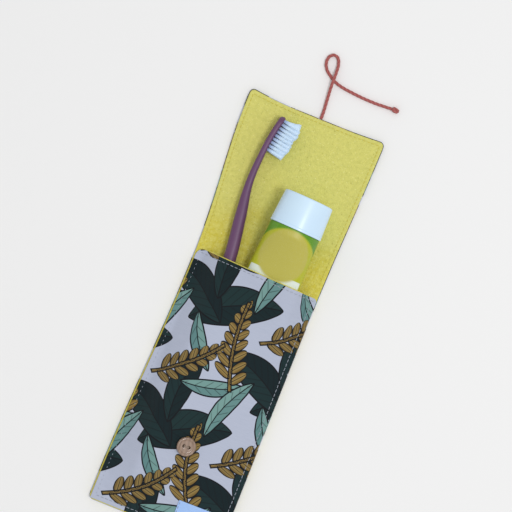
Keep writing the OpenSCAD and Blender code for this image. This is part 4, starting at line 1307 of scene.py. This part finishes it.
print("tuft lengths in mm:", (BRISTLE + TRIM).round(1).tolist())


# %% Bristle rows
def bristle_hairs(frames, seed):
    """Stack of hairs: roots on a sunflower spiral in each tuft, tips fanned out along the head so that
    neighbours meet and by a third across it, lengths trimmed at a slant. Use has splayed the first tufts:
    their outer hairs bend on towards the tip by FLARE mm, growing with the square of the height."""
    rng = np.random.default_rng(seed)
    k = np.arange(HAIRS)
    root = ROOT_R * np.sqrt((k + 0.5) / HAIRS)
    a, b = root * np.cos(GOLDEN * k), root * np.sin(GOLDEN * k)
    wild = rng.normal(0, WILD, (2, TUFTS, HAIRS))[..., None] * GROWN**2
    uneven = rng.uniform(-UNEVEN, UNEVEN, (TUFTS, HAIRS))
    long = BRISTLE + TRIM[:, None] + SLANT[:, None] * a / ROOT_R + uneven
    height = np.where(LEVEL < 0, LEVEL, LEVEL * long[..., None])
    at_a = a[:, None] * FAN + SPLAY[:, None] * np.clip(0.3 + a / ROOT_R, 0, 1)[:, None] + wild[0]
    at_b = b[:, None] * SPREAD + wild[1]
    angle = np.linspace(0, 2 * np.pi, 6)
    pa = at_a[..., None] + HAIR_R[:, None] * np.cos(angle)
    pb = at_b[..., None] + HAIR_R[:, None] * np.sin(angle)
    cut = np.stack(np.broadcast_arrays((k / HAIRS)[:, None, None], GROWN[:, None], pa)[:2], -1)
    return capped(stand(frames, height[..., None], pa, pb), cut)


def tuft_cores(frames):
    """One ribbed core in each tuft, fanned, slanted and splayed as its hairs are."""
    turn = np.linspace(0, 2 * np.pi, 19)
    inner = CORE_R * (1 + 0.06 * np.cos(9 * turn))
    a, b = inner * np.cos(turn) * FAN[:, None], inner * np.sin(turn) * SPREAD[:, None]
    tall = np.where(CORE_LEVEL < 0, CORE_LEVEL, CORE_LEVEL * (BRISTLE + TRIM)[:, None])[..., None]
    tall = tall + 0.8 * SLANT[:, None, None] * a / ROOT_R * GROWN[:, None]
    a = a + SPLAY[..., None] * np.clip(0.3 + np.cos(turn), 0, 1)
    cut = np.stack(np.broadcast_arrays(turn / (2 * np.pi), GROWN[:, None], a)[:2], -1)
    return capped(stand(frames, tall, a, b), cut)


nylon, board, shader = new_finish("pale_nylon", IOR=1.53, Roughness=0.38)
hair, grown = board.split(board.add("UVMap", {}, uv_map="cut"))
hue = board.mix(hair, tint(204, 229, 255), tint(222, 241, 255))
# painted shade: each hair darkens towards its root, where the tufts shade each other and the head
board.fill(shader, Base_Color=board.mix(board.ramp(grown, 0.0, 0.4), tint(184, 207, 246), hue))
for row_z, name, seed in ((2.8, "upper", 3), (0.0, "middle", 5), (-2.8, "lower", 7)):
    frames = tuft_frames(row_z)
    row = make_piece("bristles_" + name, bristle_hairs(frames, seed), tuft_cores(frames))
    settle(row, nylon, "toothbrush", "bristle_row_" + name)
print("hairs in all:", 3 * TUFTS * HAIRS)

# %% [markdown]
# ## The toothpaste tube
# The tube starts round at its shoulder and flattens to a crimped end inside the pocket. One loft of ovals
# follows the CAD model's formula, with a turned-in lip at the shoulder and a pinched last row. Shallow dents
# show that it is soft. Its print is a plain one: green at the shoulder and the foot, yellow green between, a
# soft olive disc and a pale band. An image could carry it, but shapes worked out in the sleeve's own
# coordinates stay sharp.

# %% Sleeve
AXIS = np.array([np.sin(TUBE_TURN), np.cos(TUBE_TURN), 0])
ACROSS = np.array([np.cos(TUBE_TURN), -np.sin(TUBE_TURN), 0])
SHOULDER_Z = SLEEVE_LOW + TUBE_D / 2
SHOULDER = np.array([TUBE_X + (SHOULDER_Y - MOUTH_Y) * np.tan(TUBE_TURN), SHOULDER_Y, SHOULDER_Z])
DENTS = [(0.45, -7, 21, 60), (0.7, 6, 50, 90)]  # depth, place across and along, and how far it spreads
LIP = np.array([[2.5, 0.5], [1.0, 0.5], [0.2, 0.48], [0.05, 0.4], [0, 0.25], [0.05, 0.1], [0.2, 0.02]])


def sleeve_rings(s, wall, pinch, sides):
    """Ovals across the tube, seam underneath: half width and half thickness less the wall, pinched flat at
    the end. Each dent lowers the upper side by a bell curve."""
    half, thick, power = (a[:, None] for a in tube_section(np.maximum(s, 0)))
    s, wall, pinch = s[:, None], wall[:, None], pinch[:, None]
    angle = np.linspace(-np.pi / 2, 1.5 * np.pi, sides + 1)
    up = np.sin(angle)
    px = (half - wall) * squared(np.cos(angle), power)
    dent = sum(deep * np.exp(-((px - x) ** 2 + (s - at) ** 2) / wide) for deep, x, at, wide in DENTS)
    pz = (thick / 2 - wall) * pinch * squared(up, power) - dent * np.maximum(up, 0)
    middle = SHOULDER - s * AXIS
    middle[:, 2] = SLEEVE_LOW + thick[:, 0] / 2
    points = middle[:, None] + px[..., None] * ACROSS + pz[..., None] * UP
    arc = run_across(px, pz)
    arc = arc - arc[:, sides // 2][:, None]
    return points, np.stack(np.broadcast_arrays(arc, s), -1) / CUT_MM


body_s = np.concatenate([np.linspace(0.6, 76.4, 110), np.linspace(77, SLEEVE_LONG, 13)])
s = np.concatenate([LIP[:, 0], body_s, [SLEEVE_LONG]])
wall = np.concatenate([LIP[:, 1], np.zeros(len(body_s) + 1)])
pinch = np.append(np.ones(len(s) - 1), 0)
sleeve = make_piece("tube_sleeve_printed", sleeve_rings(s, wall, pinch, sides=112))

# %% Tube print
GREEN, DISC_AT, FOOT_AT, RIDGES_AT = tint(92, 148, 22), 15.2, 69.0, 76.5
BAND_AT, BAND_HALF, BAND_REACH = 27.4, 2.1, 15.6
laminate, board, shader = new_finish("printed_laminate", IOR=1.5, Specular_IOR_Level=0.35)
cut = cut_mm(board)
px, ps = board.split(cut)
cast = use(board, moulding, Place=object_mm(board), Flow=9.0, Scuff=0.7)
colour = board.mix(cast["Mottle"], tint(176, 180, 18), tint(188, 190, 30))
arch = px * px * 0.021 + 1.1 - ps
colour = board.mix(board.ramp(arch, -0.9, 0.9), colour, GREEN)
band = board.ramp(abs(ps - BAND_AT), BAND_HALF + 0.2, BAND_HALF - 0.2)
band = band * board.ramp(abs(px), BAND_REACH + 0.4, BAND_REACH - 0.4)
colour = board.mix(band, colour, tint(226, 236, 226))
disc = board.vector("DISTANCE", cut, (0.0, DISC_AT, 0.0), out=1)
colour = board.mix(board.ramp(disc, 15.4, 13.2), colour, tint(190, 182, 82))
colour = board.mix(board.ramp(ps, FOOT_AT, FOOT_AT + 0.6), colour, GREEN)
ridges = abs(board.math("SINE", px * 3.1)) * board.ramp(ps, RIDGES_AT, RIDGES_AT + 1.0)
board.fill(
    shader, Base_Color=board.mix(cast["Scuffs"] * 0.3, colour, tint(225, 228, 190)),
    Roughness=board.ramp(cast["Scuffs"], 0.0, 0.6, 0.4, 0.58),
    Normal=bump(board, cast["Height"] * 0.1 + ridges, 0.2),
)
settle(sleeve, laminate, "tube", "tube_sleeve")
print("tube print made for a sleeve of", SLEEVE_LONG, "mm")

# %% [markdown]
# ## Shoulder, nozzle and cap
# The shoulder and its threaded nozzle show when the cap is off. They and the cap are turned shapes: a profile
# of radius and height, softened at its corners, goes once round the tube's axis. The thread is a ridge
# carried along a helix. A Screw modifier could turn them too, but a formula needs no clean-up afterwards.

# %% Turned shapes
CORNER_POINTS = 7


def softened(profile, closed=False):
    """Profile of rows (radius, height, softening) whose corners are swapped for short curves: each starts and
    ends up to its softening from its corner, and never past the middle of a side."""
    profile = np.array(profile, float)
    p, soft = profile[:, :2], profile[:, 2]
    before, after = np.roll(p, 1, 0) - p, np.roll(p, -1, 0) - p
    way_in, way_out = np.hypot(*before.T), np.hypot(*after.T)
    reach = np.minimum(soft, 0.45 * np.minimum(way_in, way_out))
    if not closed:
        reach[[0, -1]] = 0
    a, b = p + before * (reach / way_in)[:, None], p + after * (reach / way_out)[:, None]
    t = np.linspace(0, 1, CORNER_POINTS)[:, None]
    line = ((1 - t) ** 2 * a[:, None] + 2 * t * (1 - t) * p[:, None] + t**2 * b[:, None]).reshape(-1, 2)
    spare = CORNER_POINTS - 1
    return np.concatenate([line, line[:1]]) if closed else line[spare : len(line) - spare]


def on_tube(local):
    """Points drawn round +Z from the shoulder, put along the tube."""
    return SHOULDER + local[..., :1] * ACROSS + local[..., 2:] * AXIS - local[..., 1:2] * UP


def turned(profile, sides):
    """Profile of radius and height turned once round the tube's axis."""
    angle = np.linspace(0, 2 * np.pi, sides + 1)
    return on_tube(turned_rows(*profile.T, angle)), ring_cut(angle, np.arange(len(profile))[:, None])


shoulder_profile = [
    [3, -1.75, 0.2], [12.3, -3.5, 0.2], [13.5, -3.5, 0.2], [13.5, 0, 0.5],
    [6.5, 1.2, 0.7], [6.5, 9.2, 0.4], [3, 9.2, 0.3],
]
shoulder = make_piece("tube_shoulder_turned", turned(softened(shoulder_profile, closed=True), sides=96))

# %% Nozzle thread
HELIX_R, HELIX_TURNS, HELIX_LOW, HELIX_PITCH, RIDGE_R, RIDGE_TAPER = 6.47, 2.1, 2.0, 3.0, 0.3, 4
turns = np.linspace(0, HELIX_TURNS * 2 * np.pi, 200)
helix_z = HELIX_LOW + HELIX_PITCH * turns / (2 * np.pi)
helix = np.stack([HELIX_R * np.cos(turns), HELIX_R * np.sin(turns), helix_z], 1)
helix_run = turns * HELIX_R


def ridge_radius(angle, run):
    """Full along most of the helix, tapering over the last RIDGE_TAPER mm at both ends."""
    away = np.minimum(run, helix_run[-1] - run)
    return RIDGE_R * np.clip(away / RIDGE_TAPER + 0.15, 0, 1) + 0 * angle


ridge, ridge_cut = tube_along(helix, helix_run, ridge_radius, sides=10)
nozzle_thread = make_piece("nozzle_thread", (on_tube(ridge), ridge_cut))

# %% Cap
SEAL, CAP_H, CAP_TOP = 10.34, 18.2, 18.5
cap_profile = [
    [0, SEAL, 0], [6.85, SEAL, 0.3], [6.85, 2.3, 0.2], [8.15, 2.3, 0.2], [8.15, 17.1, 0.4],
    [12.4, 17.1, 0.4], [13.4, 0.3, 0.2], [13.9, 0.12, 0.1], [14.78, 0.12, 0.3], [14.76, 1.35, 0.1],
    [14.58, 1.5, 0.06], [14.58, 1.66, 0.06], [14.7, 1.8, 0.1], [13.82, CAP_TOP, 0.9], [0, CAP_TOP, 0],
]
cap = make_piece("tube_cap_turned", turned(softened(cap_profile), sides=128))
ice = moulded(
    "ice_blue_plastic", (204, 230, 255), (214, 239, 255), rough=(0.5, 0.36, 0.5), flow=16.0, scuff=0.6,
    relief=0.015, IOR=1.49, Coat_Weight=0.1, Coat_Roughness=0.15,
)
milk = moulded(
    "white_moulding", (226, 230, 228), (240, 242, 240), rough=(0.5, 0.38, 0.5), flow=8.0, scuff=0.4, IOR=1.49
)
settle(cap, ice, "cap", "tube_cap")
settle(shoulder, milk, "tube", "tube_shoulder")
settle(nozzle_thread, milk, "tube")
print("cap:", CAP_H, "mm high")

# %% [markdown]
# ## Pieces that stay as CAD
# The paste, the foam liner in the cap and the brass plates that pin the tufts are plain shapes deep inside.
# They keep their CAD meshes and only get finishes: toothpaste with a wet gloss, matt closed-cell foam, and
# brushed brass.

# %% Hidden finishes
def repaint(node, finish):
    """Put a finish in every material slot of a CAD node."""
    piece = nodes[node]
    if not piece.material_slots:
        piece.data.materials.append(finish)
    for holder in piece.material_slots:
        holder.material = finish


paste, board, shader = new_finish("white_paste", IOR=1.4, Subsurface_Weight=0.2, Subsurface_Scale=0.002)
cast = use(board, moulding, Place=object_mm(board), Flow=5.0, Scuff=0.0)
board.fill(
    shader, Base_Color=board.mix(cast["Mottle"], tint(226, 240, 236), tint(242, 248, 244)),
    Roughness=board.ramp(cast["Mottle"], 0.3, 0.7, 0.22, 0.32), Normal=bump(board, cast["Height"], 0.1),
)
foam, board, shader = new_finish("grey_foam", Roughness=0.9)
cells = use(board, pile, Place=object_mm(board), Tuft=0.35, Blotch=4.0)
shade = board.mix(cells["Mottle"], tint(196, 198, 200), tint(220, 222, 222))
board.fill(shader, Base_Color=shade, Normal=bump(board, cells["Height"], 0.08))
brass = moulded(
    "brushed_brass", (176, 140, 70), (206, 172, 98), rough=(0.8, 0.3, 0.5), flow=1.5, scuff=1.0, relief=0,
    Metallic=1.0,
)
hidden = {"toothpaste": paste, "cap_liner": foam, "tuft_anchors": brass}
for node, finish in hidden.items():
    repaint(node, finish)
print("CAD nodes kept:", ", ".join(hidden))

# %% [markdown]
# ## Size
# Cloth may stand a little proud of the CAD model.
